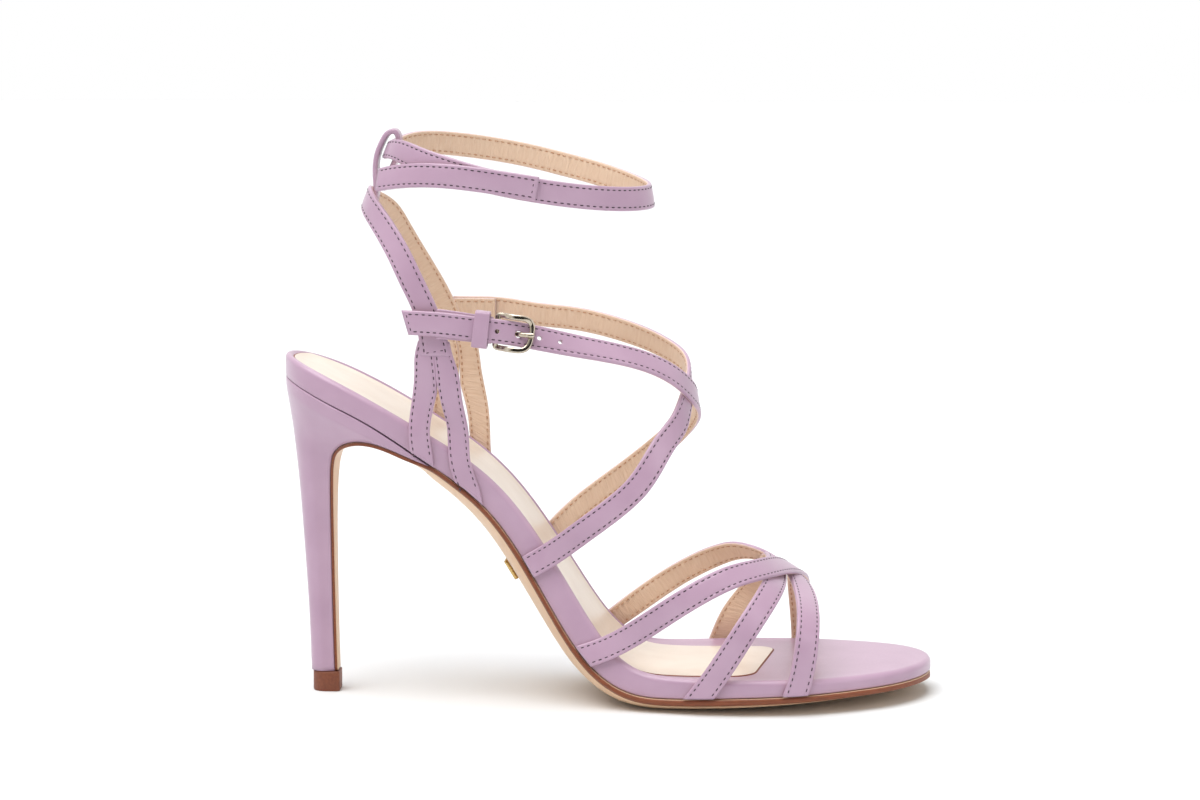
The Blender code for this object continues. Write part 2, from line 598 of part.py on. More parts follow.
def mating_line():
    """Line where the outsole meets heel and footbed, breast to toe: x, z, centre, half width, crown, edge."""
    rows = []
    for forward, up, _, _, half, stem in HEEL_LINES[::-1]:
        crown = 0.10 * CROWN * (1 - stem)
        edge = FLAP_THICK * stem + EDGE_THICK * (1 - stem)
        wide = half * (0.90 * stem + 1 - stem) * BALL_WIDTH
        rows.append((forward * SHOE_LENGTH, up * HEEL_HEIGHT, 0.0, wide, crown, edge))
    rows[0] = (rows[0][0], TOP_PIECE_HEIGHT + FLAP_GAP, *rows[0][2:])
    along = spaced(SOLE_STATIONS)
    along = np.minimum(along[along > HEEL_END + 0.003], 0.998)
    centre, half, thick, crown = sole_shape(along)
    under = sole_point(along, 0.0, -thick - FIT)
    wide = half + EDGE_OUT * np.minimum(1, (along - HEEL_END + 0.012) * 12)
    edge = np.full(len(along), EDGE_THICK)
    forefoot = np.stack([under[:, 0], under[:, 2], centre, wide, crown, edge], -1)
    return np.concatenate([np.asarray(rows), forefoot])


def outsole():
    """Leather sole: sections across a line up the heel's breast and along the footbed to the toe."""
    line = mating_line()
    run = unit(np.gradient(line[:, :2], axis=0))
    up = np.stack([-run[:, 1], run[:, 0]], -1)
    shares = np.array([0.94, 0.78, 0.5, 0.18])
    across = np.concatenate([[-1, 1, 1], shares, -shares[::-1], [-1]])
    depth = np.concatenate([[0, 0, 0], 1 - shares**2.2, 1 - shares[::-1] ** 2.2, [0]])
    level = np.concatenate([[0, 0, 1], np.ones(8), [1]])
    rings = []
    for (x, z, centre, half, crown, edge), (ux, uz) in zip(line, up):
        drop = level * edge + depth * crown
        rings.append(np.stack([x - ux * drop, centre + across * half, np.maximum(z - uz * drop, 0.0)], -1))
    points, faces = skin(rings)
    return make("outsole", points, faces, SOLE_LEATHER)


def heel_side(count, stem, top):
    """Share of a ring's half width from back to front: the seat's outline turned into the stem's section."""
    u = (1 - np.cos(np.linspace(0, math.pi * 0.5, count))) * 0.62
    u = np.concatenate([u, [0.75, 0.88, 1.0]])
    seat = sole_shape(u * top)[1] / sole_shape(0.15)[1]
    back = np.clip(u / 0.55, 0, 1)
    round_ = np.sqrt(1 - (1 - back) ** 2) * (1 - 0.10 * ease((u - 0.45) / 0.55))
    return u, seat * (1 - stem) + round_ * stem


def heel():
    """Covered heel: rings that tip from the seat's slope to level down the stem."""
    along = heel_side(9, 0.0, HEEL_END)[0] * HEEL_END
    centre, half, thick = sole_shape(along)[:3]
    left, right = (sole_point(along, centre + side * half, -thick - FIT) for side in (-1, 1))
    rings = [np.concatenate([left, right[:0:-1]])]
    line = mating_line()[: len(HEEL_LINES)][::-1]
    run = unit(np.gradient(line[:, :2], axis=0))
    off = np.stack([run[:, 1], -run[:, 0]], -1) * FIT
    for (_, _, behind, up, wide, stem), (x, z), (ox, oz) in zip(HEEL_LINES, line[:, :2], off):
        u, share = heel_side(9, stem, HEEL_END)
        back = np.array([-behind * SHOE_LENGTH, up * HEEL_HEIGHT])
        front = np.array([x + ox, z + oz])
        if up == HEEL_LINES[-1][3]:
            back[1] = front[1] = TOP_PIECE_HEIGHT + FIT
        side = back + u[:, None] * (front - back)
        half = share * wide * BALL_WIDTH
        left = np.stack([side[:, 0], -half, side[:, 1]], -1)
        right = np.stack([side[:, 0], half, side[:, 1]], -1)
        rings.append(np.concatenate([left, right[:0:-1]]))
    points, faces = skin(rings, caps="strip")
    return make("heel", points, faces, LILAC)


def top_piece():
    """Flat outline, extruded up."""
    curve = bpy.data.curves.new("top_piece", "CURVE")
    curve.dimensions, curve.fill_mode = "2D", "BOTH"
    curve.extrude = TOP_PIECE_HEIGHT / 2
    turn = np.linspace(0, math.pi, 13)
    x = TOP_PIECE_WIDTH / 2 - TOP_PIECE_BACK - TOP_PIECE_WIDTH / 2 * np.sin(turn)
    y = TOP_PIECE_WIDTH / 2 * np.cos(turn)
    ahead = TOP_PIECE_LENGTH - TOP_PIECE_BACK
    beside = TOP_PIECE_WIDTH / 2 - TOP_PIECE_CORNER
    short = ahead - TOP_PIECE_CORNER
    front = [(short, y[-1]), (ahead, -beside), (ahead, beside), (short, -y[-1])]
    outline = list(zip(x, y)) + front
    spline = curve.splines.new("POLY")
    spline.points.add(len(outline) - 1)
    for point, (px, py) in zip(spline.points, outline):
        point.co = (px, py, 0, 1)
    spline.use_cyclic_u = True
    source = bpy.data.objects.new("top_piece_outline", curve)
    link(source, CUTTERS)
    bpy.context.view_layer.update()
    mesh = bpy.data.meshes.new_from_object(source)
    work = bmesh.new()
    work.from_mesh(mesh)
    bmesh.ops.remove_doubles(work, verts=work.verts, dist=1e-6)
    bmesh.ops.translate(work, verts=work.verts, vec=(0, 0, TOP_PIECE_HEIGHT / 2))
    bmesh.ops.recalc_face_normals(work, faces=work.faces)
    work.to_mesh(mesh)
    work.free()
    mesh.materials.append(RUBBER)
    bpy.data.objects.remove(source, do_unlink=True)
    return link(bpy.data.objects.new("top_piece", mesh), PARTS)


def back_loop():
    """Narrow strap in the middle plane that rises from the quarters and turns over the ankle strap."""
    rows = np.asarray(LOOP_LINE) * (SHOE_LENGTH, HEEL_HEIGHT)
    key = np.concatenate([[0], np.cumsum(np.linalg.norm(np.diff(rows, axis=0), axis=1))])
    at = np.linspace(0, key[-1], 22)
    line = smooth(np.column_stack([key, rows]), at)
    run = unit(np.gradient(line, axis=0))
    normal = np.stack([-run[:, 1], run[:, 0]], -1)
    across, up = (strap_section() * (LOOP_WIDTH, LOOP_THICK)).T
    x = line[:, :1] + normal[:, :1] * up
    z = line[:, 1:] + normal[:, 1:] * up
    points, faces = skin(np.stack([x, across + 0 * x, z], -1))
    return make("back_loop", points, faces, LILAC)


def waist_plate():
    """Small plain plate on the underside of the waist, wrapped across it."""
    line = mating_line()
    at = np.linspace(-0.5, 0.5, 6) * PLATE_LENGTH / SHOE_LENGTH + PLATE_ALONG
    centre, half, thick, crown = sole_shape(at)
    depth = thick + FIT + EDGE_THICK + FIT
    across = np.linspace(-0.5, 0.5, 7) * PLATE_WIDTH
    loops = []
    for a, d, c, h, cr in zip(at, depth, centre, half, crown):
        share = np.abs(across) / h
        under = d + cr * (1 - share**2.2)
        inner = sole_point(np.full(7, a), c + across, -under)
        outer = sole_point(np.full(7, a), c + across, -under - PLATE_THICK)
        loops.append(np.concatenate([inner, outer[::-1]]))
    points, faces = skin(loops, caps="fan")
    return make("waist_plate", points, faces, BRASS)


def buckle(over):
    """Frame, prong, chape and keeper, placed along the strap that carries the holes."""
    arm = FRAME_WIDTH / 2
    above = FIT + WIRE_RADIUS
    below = -STRAP_THICK - FIT - WIRE_RADIUS
    turn = np.linspace(-math.pi / 2, math.pi / 2, 13)
    straight = FRAME_LENGTH * 0.45
    bend = FRAME_LENGTH - straight
    bar_along = [straight * 0.5, 0.0006, 0, 0, 0, 0.0006, straight * 0.5]
    along = np.concatenate([straight + bend * np.cos(turn), bar_along])
    across = np.concatenate([arm * np.sin(turn), [arm, arm, arm - 0.0007, 0, 0.0007 - arm, -arm, -arm]])
    level = below + (above - below) * ease(along / (straight * 1.25))
    frame = over.place(BAR_AT + along, across, level)
    frame_object = make("buckle_frame", *tube(frame, WIRE_RADIUS, 8, closed=True), METAL)

    hole = PRONG_HOLE_AT - BAR_AT
    prong_along = np.array([0.0016, 0.0035, 0.0052, 0.0066, 0.0073, 0.0076, 0.0082, 0.0094, 0.0107, 0.0122])
    prong_level = np.array([-2.7, -2.7, -2.65, -2.1, -0.8, 0.35, 1.15, 2.0, 2.85, 3.15]) * 0.001
    thin = np.array([1, 1, 1, 1, 1, 1, 1, 1, 1, 0.8]) * PRONG_RADIUS
    prong = over.place(BAR_AT + prong_along + hole - 0.0073, 0 * prong_along, prong_level)
    prong_object = make("buckle_prong", *tube(prong, thin, 8), METAL)

    at = np.linspace(CHAPE_FROM, CHAPE_TO, 8)
    wide = np.interp(at, (CHAPE_FROM, CHAPE_TO), (CHAPE_WIDTH, STRAP_WIDTH + 0.0008))
    across, up = strap_section().T
    top = -STRAP_THICK - FIT
    rings = [over.place(np.full(8, a), across * w, top + (up - 0.5) * CHAPE_THICK) for a, w in zip(at, wide)]
    chape = make("buckle_chape", *skin(rings), LILAC)

    reach = CHAPE_WIDTH / 2 + FIT
    low, high = -STRAP_THICK - FIT - CHAPE_THICK - FIT, FIT
    loops = []
    for side, grow in ((-1, 0.0), (1, 0.0), (1, KEEPER_THICK), (-1, KEEPER_THICK)):
        a = KEEPER_AT + side * KEEPER_WIDTH / 2
        x = np.array([-1, -0.85, 0.85, 1, 1, 0.85, -0.85, -1]) * (reach + grow)
        drop = 0.0006 if grow else 0.0
        y = np.array([high - drop, high, high, high - drop, low + drop, low, low, low + drop])
        y = y + grow * np.array([1, 1, 1, 1, -1, -1, -1, -1])
        loops.append(over.place(np.full(8, a), x, y))
    keeper = make("strap_keeper", *skin(loops, closed=True), LILAC)
    return frame_object, prong_object, chape, keeper


def pierce(obj, over):
    """Buckle holes through the strap."""
    for number in (-1, 0, 1, 2):
        at = PRONG_HOLE_AT + number * HOLE_PITCH
        radius = HOLE_RADIUS if number else PRONG_HOLE_RADIUS
        turn = np.linspace(0, 2 * math.pi, 12, endpoint=False)
        rings = []
        for level in (0.002, -0.004):
            rings.append(over.place(at + radius * np.cos(turn), radius * np.sin(turn), np.full(12, level)))
        cutter = make(f"hole_{number + 2}", *skin(rings), LILAC)
        PARTS.objects.unlink(cutter)
        link(cutter, CUTTERS)
        cutter.hide_render, cutter.display_type = True, "WIRE"
        change = obj.modifiers.new("hole", "BOOLEAN")
        change.operation, change.solver, change.object = "DIFFERENCE", "EXACT", cutter
    bake(obj)


def straps():
    """The upper: its straps joined where the maker joins them."""
    rear = strap_object("toe_straps", Strap(TOE_REAR, "toe rear outer", "toe rear inner"), LILAC)
    middle = strap_object("toe_middle", Strap(TOE_MIDDLE, "toe middle outer", "toe middle inner"), LILAC)
    front = strap_object("toe_front", Strap(TOE_FRONT, "toe front outer", "toe front inner"), LILAC)
    join(rear, (middle, front))

    over = Strap(INSTEP_OVER, None, "instep over inner", slant=TIP_SLANT, lean=INSTEP_LEAN)
    under = Strap(INSTEP_UNDER, "instep under outer", None)
    instep = strap_object("instep_straps", over, LILAC)
    join(instep, (strap_object("instep_under", under, LILAC),))
    pierce(instep, over)
    buckle(over)

    quarters = strap_object("quarters", Strap(QUARTER_BAND), LILAC)
    legs = (
        ("front leg outer", OUTER_FRONT_LEG), ("rear leg outer", OUTER_REAR_LEG),
        ("front leg inner", INNER_FRONT_LEG), ("rear leg inner", INNER_REAR_LEG),
    )
    made = [strap_object("inner_tab", Strap(INNER_TAB), LILAC)]
    for name, rows in legs:
        made.append(strap_object(name.replace(" ", "_"), Strap(rows, name, None, width=LEG_WIDTH), LILAC))
    join(quarters, made)

    strap_object("ankle_strap", Strap(ANKLE_RING, closed=True), LILAC)
    strap_object("ankle_stay", Strap(ANKLE_STAY), LILAC)


def material(name, colour, roughness, metallic=0.0):
    """Plain material from an sRGB colour."""
    made = bpy.data.materials.new(name)
    made.use_nodes = True
    shader = made.node_tree.nodes["Principled BSDF"]
    linear = [c / 12.92 if c <= 0.04045 else ((c + 0.055) / 1.055) ** 2.4 for c in colour]
    shader.inputs["Base Color"].default_value = (*linear, 1)
    shader.inputs["Roughness"].default_value = roughness
    shader.inputs["Metallic"].default_value = metallic
    made.diffuse_color = (*linear, 1)
    return made


for old in list(bpy.data.objects):
    bpy.data.objects.remove(old, do_unlink=True)
PARTS = bpy.data.collections.new(NAME)
CUTTERS = bpy.data.collections.new(NAME + "_cutters")
bpy.context.scene.collection.children.link(PARTS)
bpy.context.scene.collection.children.link(CUTTERS)
CUTTERS.hide_render = True

LILAC = material("lilac_calf", (0.78, 0.68, 0.79), 0.42)
SOCK = material("cream_sock", (0.93, 0.88, 0.80), 0.5)
SOLE_LEATHER = material("sole_leather", (0.86, 0.72, 0.60), 0.5)
RUBBER = material("brown_top_piece", (0.50, 0.31, 0.20), 0.55)
METAL = material("pale_nickel", (0.80, 0.78, 0.74), 0.2, 1.0)
BRASS = material("pale_brass", (0.83, 0.76, 0.58), 0.25, 1.0)

footbed()
sock()
outsole()
heel()
top_piece()
straps()
back_loop()
waist_plate()
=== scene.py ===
"""Strappy high-heeled sandal, right shoe: leather, linings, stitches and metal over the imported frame."""

import math

import bpy
import numpy as np
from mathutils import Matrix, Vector


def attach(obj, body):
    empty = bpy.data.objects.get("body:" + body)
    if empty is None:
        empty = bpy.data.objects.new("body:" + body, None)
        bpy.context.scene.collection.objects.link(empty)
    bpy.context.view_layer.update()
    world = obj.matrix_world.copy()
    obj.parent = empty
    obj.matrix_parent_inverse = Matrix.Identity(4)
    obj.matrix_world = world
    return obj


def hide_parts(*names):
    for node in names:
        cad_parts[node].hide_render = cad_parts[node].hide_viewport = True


bl_info = {
    "name": "Strappy sandal",
    "version": (1, 0, 0),
    "blender": (4, 5, 0),
    "location": "3D View > Sidebar > Sandal",
    "description": "Dresses the sandal's frame in calf, lining leather, thread and metal",
    "category": "Object",
}

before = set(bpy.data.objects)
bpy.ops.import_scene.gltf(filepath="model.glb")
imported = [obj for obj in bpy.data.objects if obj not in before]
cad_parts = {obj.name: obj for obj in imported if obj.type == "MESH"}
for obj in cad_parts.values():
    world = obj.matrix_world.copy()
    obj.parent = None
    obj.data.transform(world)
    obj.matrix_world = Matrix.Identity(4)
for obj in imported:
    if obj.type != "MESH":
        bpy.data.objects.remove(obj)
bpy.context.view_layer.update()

# Sizes of the frame, in metres
SHOE_LENGTH = 0.217
HEEL_HEIGHT = 0.105
BALL_WIDTH = 0.075
SEAT_OVERHANG = 0.0127
FIT = 0.0003
FOOTBED_THICK = 0.0066
DISH_DEPTH = 0.0022
DISH_FROM = 0.0012
DISH_RUN = 0.0085
DISH_FADES = ((0.42, 0.62), (0.74, 0.86))
HEEL_ROUND = 0.022
TOE_ROUND = 0.045
UPRIGHT_SEAT = 0.050
EDGE_THICK = 0.0015
EDGE_OUT = 0.0010
CROWN = 0.0038
FLAP_THICK = 0.0011
FLAP_GAP = 0.0006
SOCK_THICK = 0.0007
SOCK_INSET = 0.0026
SOCK_LIFT = 0.0003
SOCK_LENGTH = 0.1612
SOCK_CORNER = 0.007
SOCK_SKEW = 0.16
TOP_PIECE_HEIGHT = 0.0067
TOP_PIECE_LENGTH = 0.0093
TOP_PIECE_WIDTH = 0.0092
TOP_PIECE_BACK = TOP_PIECE_LENGTH / 2
STRAP_WIDTH = 0.008
STRAP_THICK = 0.0016
LEG_WIDTH = 0.0070
MEET = 0.60
FOOT_SKIVE = 0.75
FOOT_GAP = 0.0006
TIP_SLANT = 0.0026
LAST_SQUARE = 0.62
LOOP_WIDTH = 0.008
LOOP_THICK = 0.0017
CHAPE_FROM = 0.0112
CHAPE_TO = 0.0298
CHAPE_WIDTH = 0.0098
CHAPE_THICK = 0.0013
KEEPER_AT = 0.0263
KEEPER_WIDTH = 0.0050
KEEPER_THICK = 0.0009
BAR_AT = 0.0312
FRAME_LENGTH = 0.0115
FRAME_WIDTH = 0.0106
PRONG_HOLE_AT = 0.0385
HOLE_PITCH = 0.0069
HOLE_RADIUS = 0.00075
PRONG_HOLE_RADIUS = 0.0011
PLATE_ALONG = 0.412
PLATE_LENGTH = 0.0042
PLATE_WIDTH = 0.0110
PLATE_THICK = 0.0012
FOREFOOT_TOP = EDGE_THICK + CROWN + FOOTBED_THICK - 0.0001
HEEL_RISE = HEEL_HEIGHT - 0.0064

# Side line of the footbed's crest: share of the length from the seat, share of the heel's rise
SOLE_LINE = (
    (0.000, 1.053), (0.060, 1.000), (0.152, 0.898), (0.244, 0.777), (0.313, 0.669),
    (0.359, 0.565), (0.406, 0.421), (0.452, 0.258), (0.498, 0.108), (0.539, 0.030),
    (0.590, 0.004), (0.682, 0.001), (0.797, 0.000), (0.912, 0.000), (1.000, 0.000),
)

# Outline and thickness: along, centre, half width, footbed thickness, crown
SOLE_SHAPE = (
    (0.00, 0.000, 0.320, 1.18, 0.20),
    (0.07, 0.000, 0.320, 1.23, 0.20),
    (0.15, -0.003, 0.344, 1.10, 0.30),
    (0.26, -0.013, 0.322, 1.25, 1.13),
    (0.38, -0.020, 0.300, 1.23, 1.43),
    (0.50, -0.020, 0.369, 1.34, 1.25),
    (0.59, -0.020, 0.447, 1.08, 1.00),
    (0.68, -0.016, 0.493, 0.92, 1.00),
    (0.775, 0.000, 0.497, 0.80, 0.80),
    (0.87, 0.033, 0.464, 0.70, 0.50),
    (0.94, 0.067, 0.460, 0.66, 0.35),
    (1.00, 0.113, 0.467, 0.64, 0.20),
)

# Heel downwards: breast forward and up, back line behind and up, half width, share of stem shape
HEEL_LINES = (
    (0.1370, 0.7880, 0.0582, 1.0000, 0.337, 0.03),
    (0.1120, 0.8100, 0.0578, 0.9900, 0.334, 0.08),
    (0.0880, 0.8250, 0.0570, 0.9760, 0.322, 0.15),
    (0.0650, 0.8290, 0.0555, 0.9560, 0.297, 0.25),
    (0.0480, 0.8230, 0.0535, 0.9310, 0.268, 0.35),
    (0.0330, 0.8090, 0.0515, 0.9010, 0.228, 0.50),
    (0.0205, 0.7820, 0.0490, 0.8660, 0.182, 0.65),
    (0.0155, 0.7500, 0.0468, 0.8270, 0.150, 0.80),
    (0.0130, 0.7000, 0.0440, 0.7700, 0.122, 0.92),
    (0.0118, 0.6200, 0.0400, 0.6800, 0.096, 1.00),
    (0.0115, 0.4950, 0.0345, 0.5200, 0.076, 1.00),
    (0.0124, 0.3000, 0.0280, 0.3000, 0.066, 1.00),
    (0.0134, 0.1700, 0.0255, 0.1700, 0.062, 1.00),
    (0.0145, 0.0700, 0.0240, 0.0700, 0.060, 1.00),
)

# Sections of the last: back forward and up, front forward and up, outer and inner half width
LAST = (
    (0.920, 0.105, 0.930, 0.133, 0.107, 0.107),
    (0.820, 0.105, 0.816, 0.290, 0.360, 0.400),
    (0.737, 0.105, 0.737, 0.352, 0.475, 0.465),
    (0.645, 0.108, 0.682, 0.433, 0.520, 0.480),
    (0.553, 0.113, 0.641, 0.533, 0.510, 0.460),
    (0.461, 0.180, 0.608, 0.667, 0.470, 0.425),
    (0.392, 0.352, 0.583, 0.810, 0.430, 0.395),
    (0.313, 0.590, 0.566, 0.938, 0.400, 0.380),
    (0.207, 0.790, 0.558, 1.067, 0.385, 0.370),
    (0.069, 0.962, 0.544, 1.210, 0.373, 0.367),
    (0.005, 1.190, 0.532, 1.343, 0.360, 0.360),
    (0.043, 1.410, 0.516, 1.467, 0.360, 0.360),
    (0.073, 1.590, 0.503, 1.571, 0.360, 0.360),
    (0.109, 1.762, 0.496, 1.676, 0.367, 0.367),
    (0.116, 1.900, 0.493, 1.780, 0.370, 0.370),
)

# Strap rows: station on the last and turn from the front in degrees, then lift in thicknesses and share of
# the width where they aren't the plain row's 0 and 1
PLAIN_ROW = (0.0, 0.0, 0.0, 1.0)
TOE_REAR = (
    (4.8, -104.3), (4.42, -85.4), (3.84, -56.5, 0.2), (3.3, -37.7, 1.0), (2.79, -15.7, 1.6),
    (2.43, 4.0, 1.6), (2.17, 26.0, 1.2), (2.0, 70.0, 0.1),
)
TOE_MIDDLE = ((3.18, -91.3), (2.85, -51.3), (2.68, -12.0), (2.8, 40.0), (3.03, 90.0), (3.26, 107.0))
TOE_FRONT = (
    (1.9, -78.0), (1.91, -26.9), (2.13, 0.0, 0.6), (2.6, 27.0, 0.8), (3.17, 46.0, 0.7), (3.59, 54.3, 0.1),
    (3.98, 69.6), (4.26, 83.0), (4.62, 95.6), (4.9, 115.9),
)
INSTEP_UNDER = (
    (6.5, -109.4), (6.46, -91.8), (6.47, -76.6), (6.73, -49.6), (6.86, -34.3), (7.13, -21.7), (7.5, -6.0),
    (7.92, 12.6), (8.23, 27.6), (8.55, 40.1), (8.93, 53.6), (9.29, 68.3, 0.2), (9.52, 82.2, 0.8),
    (9.7, 90.5, 1.25), (9.79, 95.5, 1.25), (9.84, 100.5, 1.25),
)
INSTEP_OVER = (
    (9.94, -112.0, 2.25), (9.82, -98.4, 2.25), (9.65, -90.9, 2.25), (9.52, -85.9, 2.25), (9.34, -78.3, 2.0),
    (9.06, -68.0, 1.4), (8.7, -54.6, 0.9), (8.33, -42.3, 0.8), (7.96, -31.6, 0.8), (7.4, -14.5, 0.8),
    (6.92, 6.0, 0.8), (6.56, 36.0, 0.1), (6.48, 64.0), (6.5, 86.0), (6.55, 101.6), (6.57, 118.3),
)
INSTEP_LEAN = ((-85.0, 0.0), (-70.0, 0.45), (-55.0, 0.6), (-38.0, 0.5), (-20.0, 0.1), (0.0, 0.0))
QUARTER_BAND = (
    (9.42, -103.1, 0.05, 1.26), (9.8, -102.9, 0.0, 1.1), (10.1, -105.6), (10.58, -115.5), (11.0, -127.1),
    (11.39, -139.1), (11.68, -150.5), (11.9, -165.0), (11.98, -180.0), (11.88, -196.0), (11.68, -211.6),
    (11.33, -222.2), (10.67, -240.9), (10.17, -252.9), (9.8, -257.3, 0.0, 1.1), (9.34, -258.1, 0.05, 1.26),
)
OUTER_FRONT_LEG = (
    (8.3, -127.0, 0.0, 1.04), (8.74, -110.5), (9.1, -103.2), (9.34, -101.6, -0.04, 0.98),
    (9.56, -100.9, -0.1, 0.95),
)
OUTER_REAR_LEG = (
    (8.8, -123.5, 0.0, 1.03), (9.22, -109.0, 0.0, 1.12), (9.4, -106.2, -0.04, 1.15),
    (9.58, -103.9, -0.1, 1.1),
)
INNER_FRONT_LEG = (
    (8.29, 122.3, 0.0, 1.06), (8.87, 104.8, 0.0, 1.06), (9.28, 99.6, -0.1, 1.06), (9.46, 99.4, -0.25),
)
INNER_REAR_LEG = ((8.74, 120.5), (9.12, 107.5, 0.0, 1.05), (9.48, 103.6, -0.25))
INNER_TAB = ((9.85, 104.0, 0.35, 0.95), (9.8, 97.5, 0.2, 0.95), (9.71, 91.0, 0.1, 0.95))
ANKLE_RING = (
    (12.83, -180.0, 0.0, 0.76), (12.88, -164.0, 0.0, 0.8), (12.88, -151.0, 0.0, 0.93), (12.79, -136.0),
    (12.67, -119.0), (12.54, -103.0), (12.36, -77.5), (12.23, -52.0), (12.19, -28.0), (12.24, 0.0),
    (12.36, 22.0), (12.52, 39.0), (12.67, 54.0), (12.81, 71.0), (12.92, 86.0), (12.99, 101.0),
    (13.03, 128.0), (12.97, 152.0, 0.0, 0.9),
)
ANKLE_STAY = (
    (12.3, -155.5, 1.3), (12.4, -143.0, 1.3), (12.51, -124.0, 1.3), (12.52, -102.0, 1.3),
    (12.47, -88.5, 1.25), (12.41, -77.8, 1.15),
)

# Feet of the straps: side, share of the length at the rim's top and under the sole
FEET = {
    "toe rear outer": (-1, 0.503, 0.491),
    "toe rear inner": (1, 0.803, 0.803),
    "toe middle outer": (-1, 0.657, 0.624),
    "toe middle inner": (1, 0.671, 0.653),
    "toe front outer": (-1, 0.790, 0.777),
    "toe front inner": (1, 0.507, 0.504),
    "instep under outer": (-1, 0.4135, 0.4124),
    "instep over inner": (1, 0.4132, 0.422),
    "front leg outer": (-1, 0.282, 0.344),
    "rear leg outer": (-1, 0.221, 0.257),
    "front leg inner": (1, 0.296, 0.339),
    "rear leg inner": (1, 0.235, 0.271),
}

# Side line of the back loop: forward, up
LOOP_LINE = (
    (0.0800, 1.555), (0.0836, 1.600), (0.0836, 1.640), (0.0832, 1.685), (0.0868, 1.730), (0.0955, 1.772),
    (0.1050, 1.795), (0.1135, 1.797), (0.1190, 1.775), (0.1190, 1.735), (0.1130, 1.703), (0.1035, 1.666),
    (0.0965, 1.638), (0.0942, 1.612),
)

# Section of a strap: across and up as shares of its width and thickness, from its outer edge over the face
FACE_SECTION = (
    (-0.500, -0.20), (-0.500, 0.06), (-0.494, 0.24), (-0.478, 0.37), (-0.452, 0.445), (-0.420, 0.478),
    (-0.388, 0.485), (-0.366, 0.455), (-0.350, 0.425), (-0.334, 0.457), (-0.312, 0.490), (-0.220, 0.508),
    (-0.100, 0.516),
)
LINING_SECTION = (
    (0.492, -0.30), (0.478, -0.42), (0.450, -0.480), (0.420, -0.495), (0.368, -0.492), (0.350, -0.452),
    (0.332, -0.492), (0.180, -0.500),
)

# Sizes that only the dressed pieces have, in metres unless they are shares
RIM_IN = 0.0019
RIM_DOWN = 0.0020
FOLD = 0.0005
LOOP_POINTS = 170
DISH_RINGS = (0.0023, 0.0028, 0.0034, 0.0042, 0.0052, 0.0065, 0.0082, 0.0105)
SOCK_EDGE = 0.00032
SOCK_END_RUN = 0.030
SOCK_SHARES = (1.0, 0.984, 0.970, 0.95, 0.92, 0.86, 0.76, 0.66, 0.51, 0.36, 0.18)
SOCK_UNDER_SHARES = (1.0, 0.86, 0.66, 0.36, 0.18)
BREAST_ALONG = 0.255
TOE_ALONG = 0.998
EDGE_FROM = 0.24
EDGE_GROWS = 12
FLAP_NARROWS = 0.90
CROWN_ON_HEEL = 0.10
SEAT_WIDEST = 0.15
HEEL_TOP_SPAN = 0.252
FOOT_TOP = 0.0016
FOOT_MIDDLE = 0.0033
FOOT_UNDER = 0.005
STRAP_STEP = 0.0011
FACE_RISE = 0.002
MEET_SLOPE = 0.35
LEG_INSET = 0.75
TOP_PIECE_CORNER = 0.0012
TOP_PIECE_LEVELS = (
    (0.0, 0.97), (0.00012, 0.985), (0.0004, 1.0), (0.0036, 1.0), (0.0064, 1.0), (TOP_PIECE_HEIGHT, 0.985),
)
FRAME_SQUARE = 0.62
FRAME_STRAIGHT = 0.55
FRAME_SIDES = (0.8, 0.6, 0.4, 0.2)
WIRE_HALF = 0.0008
WIRE_SECTION = (0.0018, 0.0014, 0.0005)
PRONG_ROWS = (
    (0.0016, -0.0027, 1.0), (0.0035, -0.0027, 1.0), (0.0052, -0.00265, 1.0), (0.0066, -0.0021, 1.0),
    (0.0073, -0.0008, 1.0), (0.0076, 0.00035, 1.0), (0.0082, 0.00115, 1.0), (0.0094, 0.002, 1.0),
    (0.0107, 0.00285, 1.0), (0.0122, 0.00315, 0.8),
)
PRONG_THICK = 0.0006
PRONG_SECTION = (0.9, 1.35)
PRONG_RISES_AT = 0.0073
CHAPE_EASE = 0.0008
STITCH_TURNS = np.linspace(0, 2 * math.pi, 6, endpoint=False)
STITCH_ALONG = np.array([-0.46, -0.28, 0.28, 0.46])
STITCH_THICK = np.array([0.62, 1.0, 1.0, 0.62])
STITCH_FLAT = 0.8
STITCH_DIVE = 0.55
STITCH_TIP = 0.7
ON_FACE = -0.00009
ON_LINING = 0.00008 - STRAP_THICK


# Curves and surfaces of the frame


def smooth(rows, at):
    """Natural cubic spline: on each stretch, a cubic whose second slope runs straight between the keys."""
    rows = np.asarray(rows, float)
    keys, values = rows[:, 0], rows[:, 1:]
    at = np.asarray(at, float)
    gap = np.diff(keys)
    count = len(keys)
    system = np.eye(count)
    right = np.zeros_like(values)
    inner = np.arange(1, count - 1)
    system[inner, inner - 1], system[inner, inner + 1] = gap[:-1], gap[1:]
    system[inner, inner] = 2 * (gap[:-1] + gap[1:])
    slopes = np.diff(values, axis=0) / gap[:, None]
    right[1:-1] = 6 * np.diff(slopes, axis=0)
    bend = np.linalg.solve(system, right)
    cell = np.clip(np.searchsorted(keys, at) - 1, 0, count - 2)
    inside = np.clip(at, keys[0], keys[-1])
    h = gap[cell][..., None]
    a = (keys[cell + 1] - inside)[..., None]
    b = (inside - keys[cell])[..., None]
    low, high, bend_low, bend_high = values[cell], values[cell + 1], bend[cell], bend[cell + 1]
    slope_low, slope_high = low / h - bend_low * h / 6, high / h - bend_high * h / 6
    value = (bend_low * a**3 + bend_high * b**3) / (6 * h) + slope_low * a + slope_high * b
    slope = (bend_high * b**2 - bend_low * a**2) / (2 * h) - slope_low + slope_high
    return value + slope * (at - inside)[..., None]


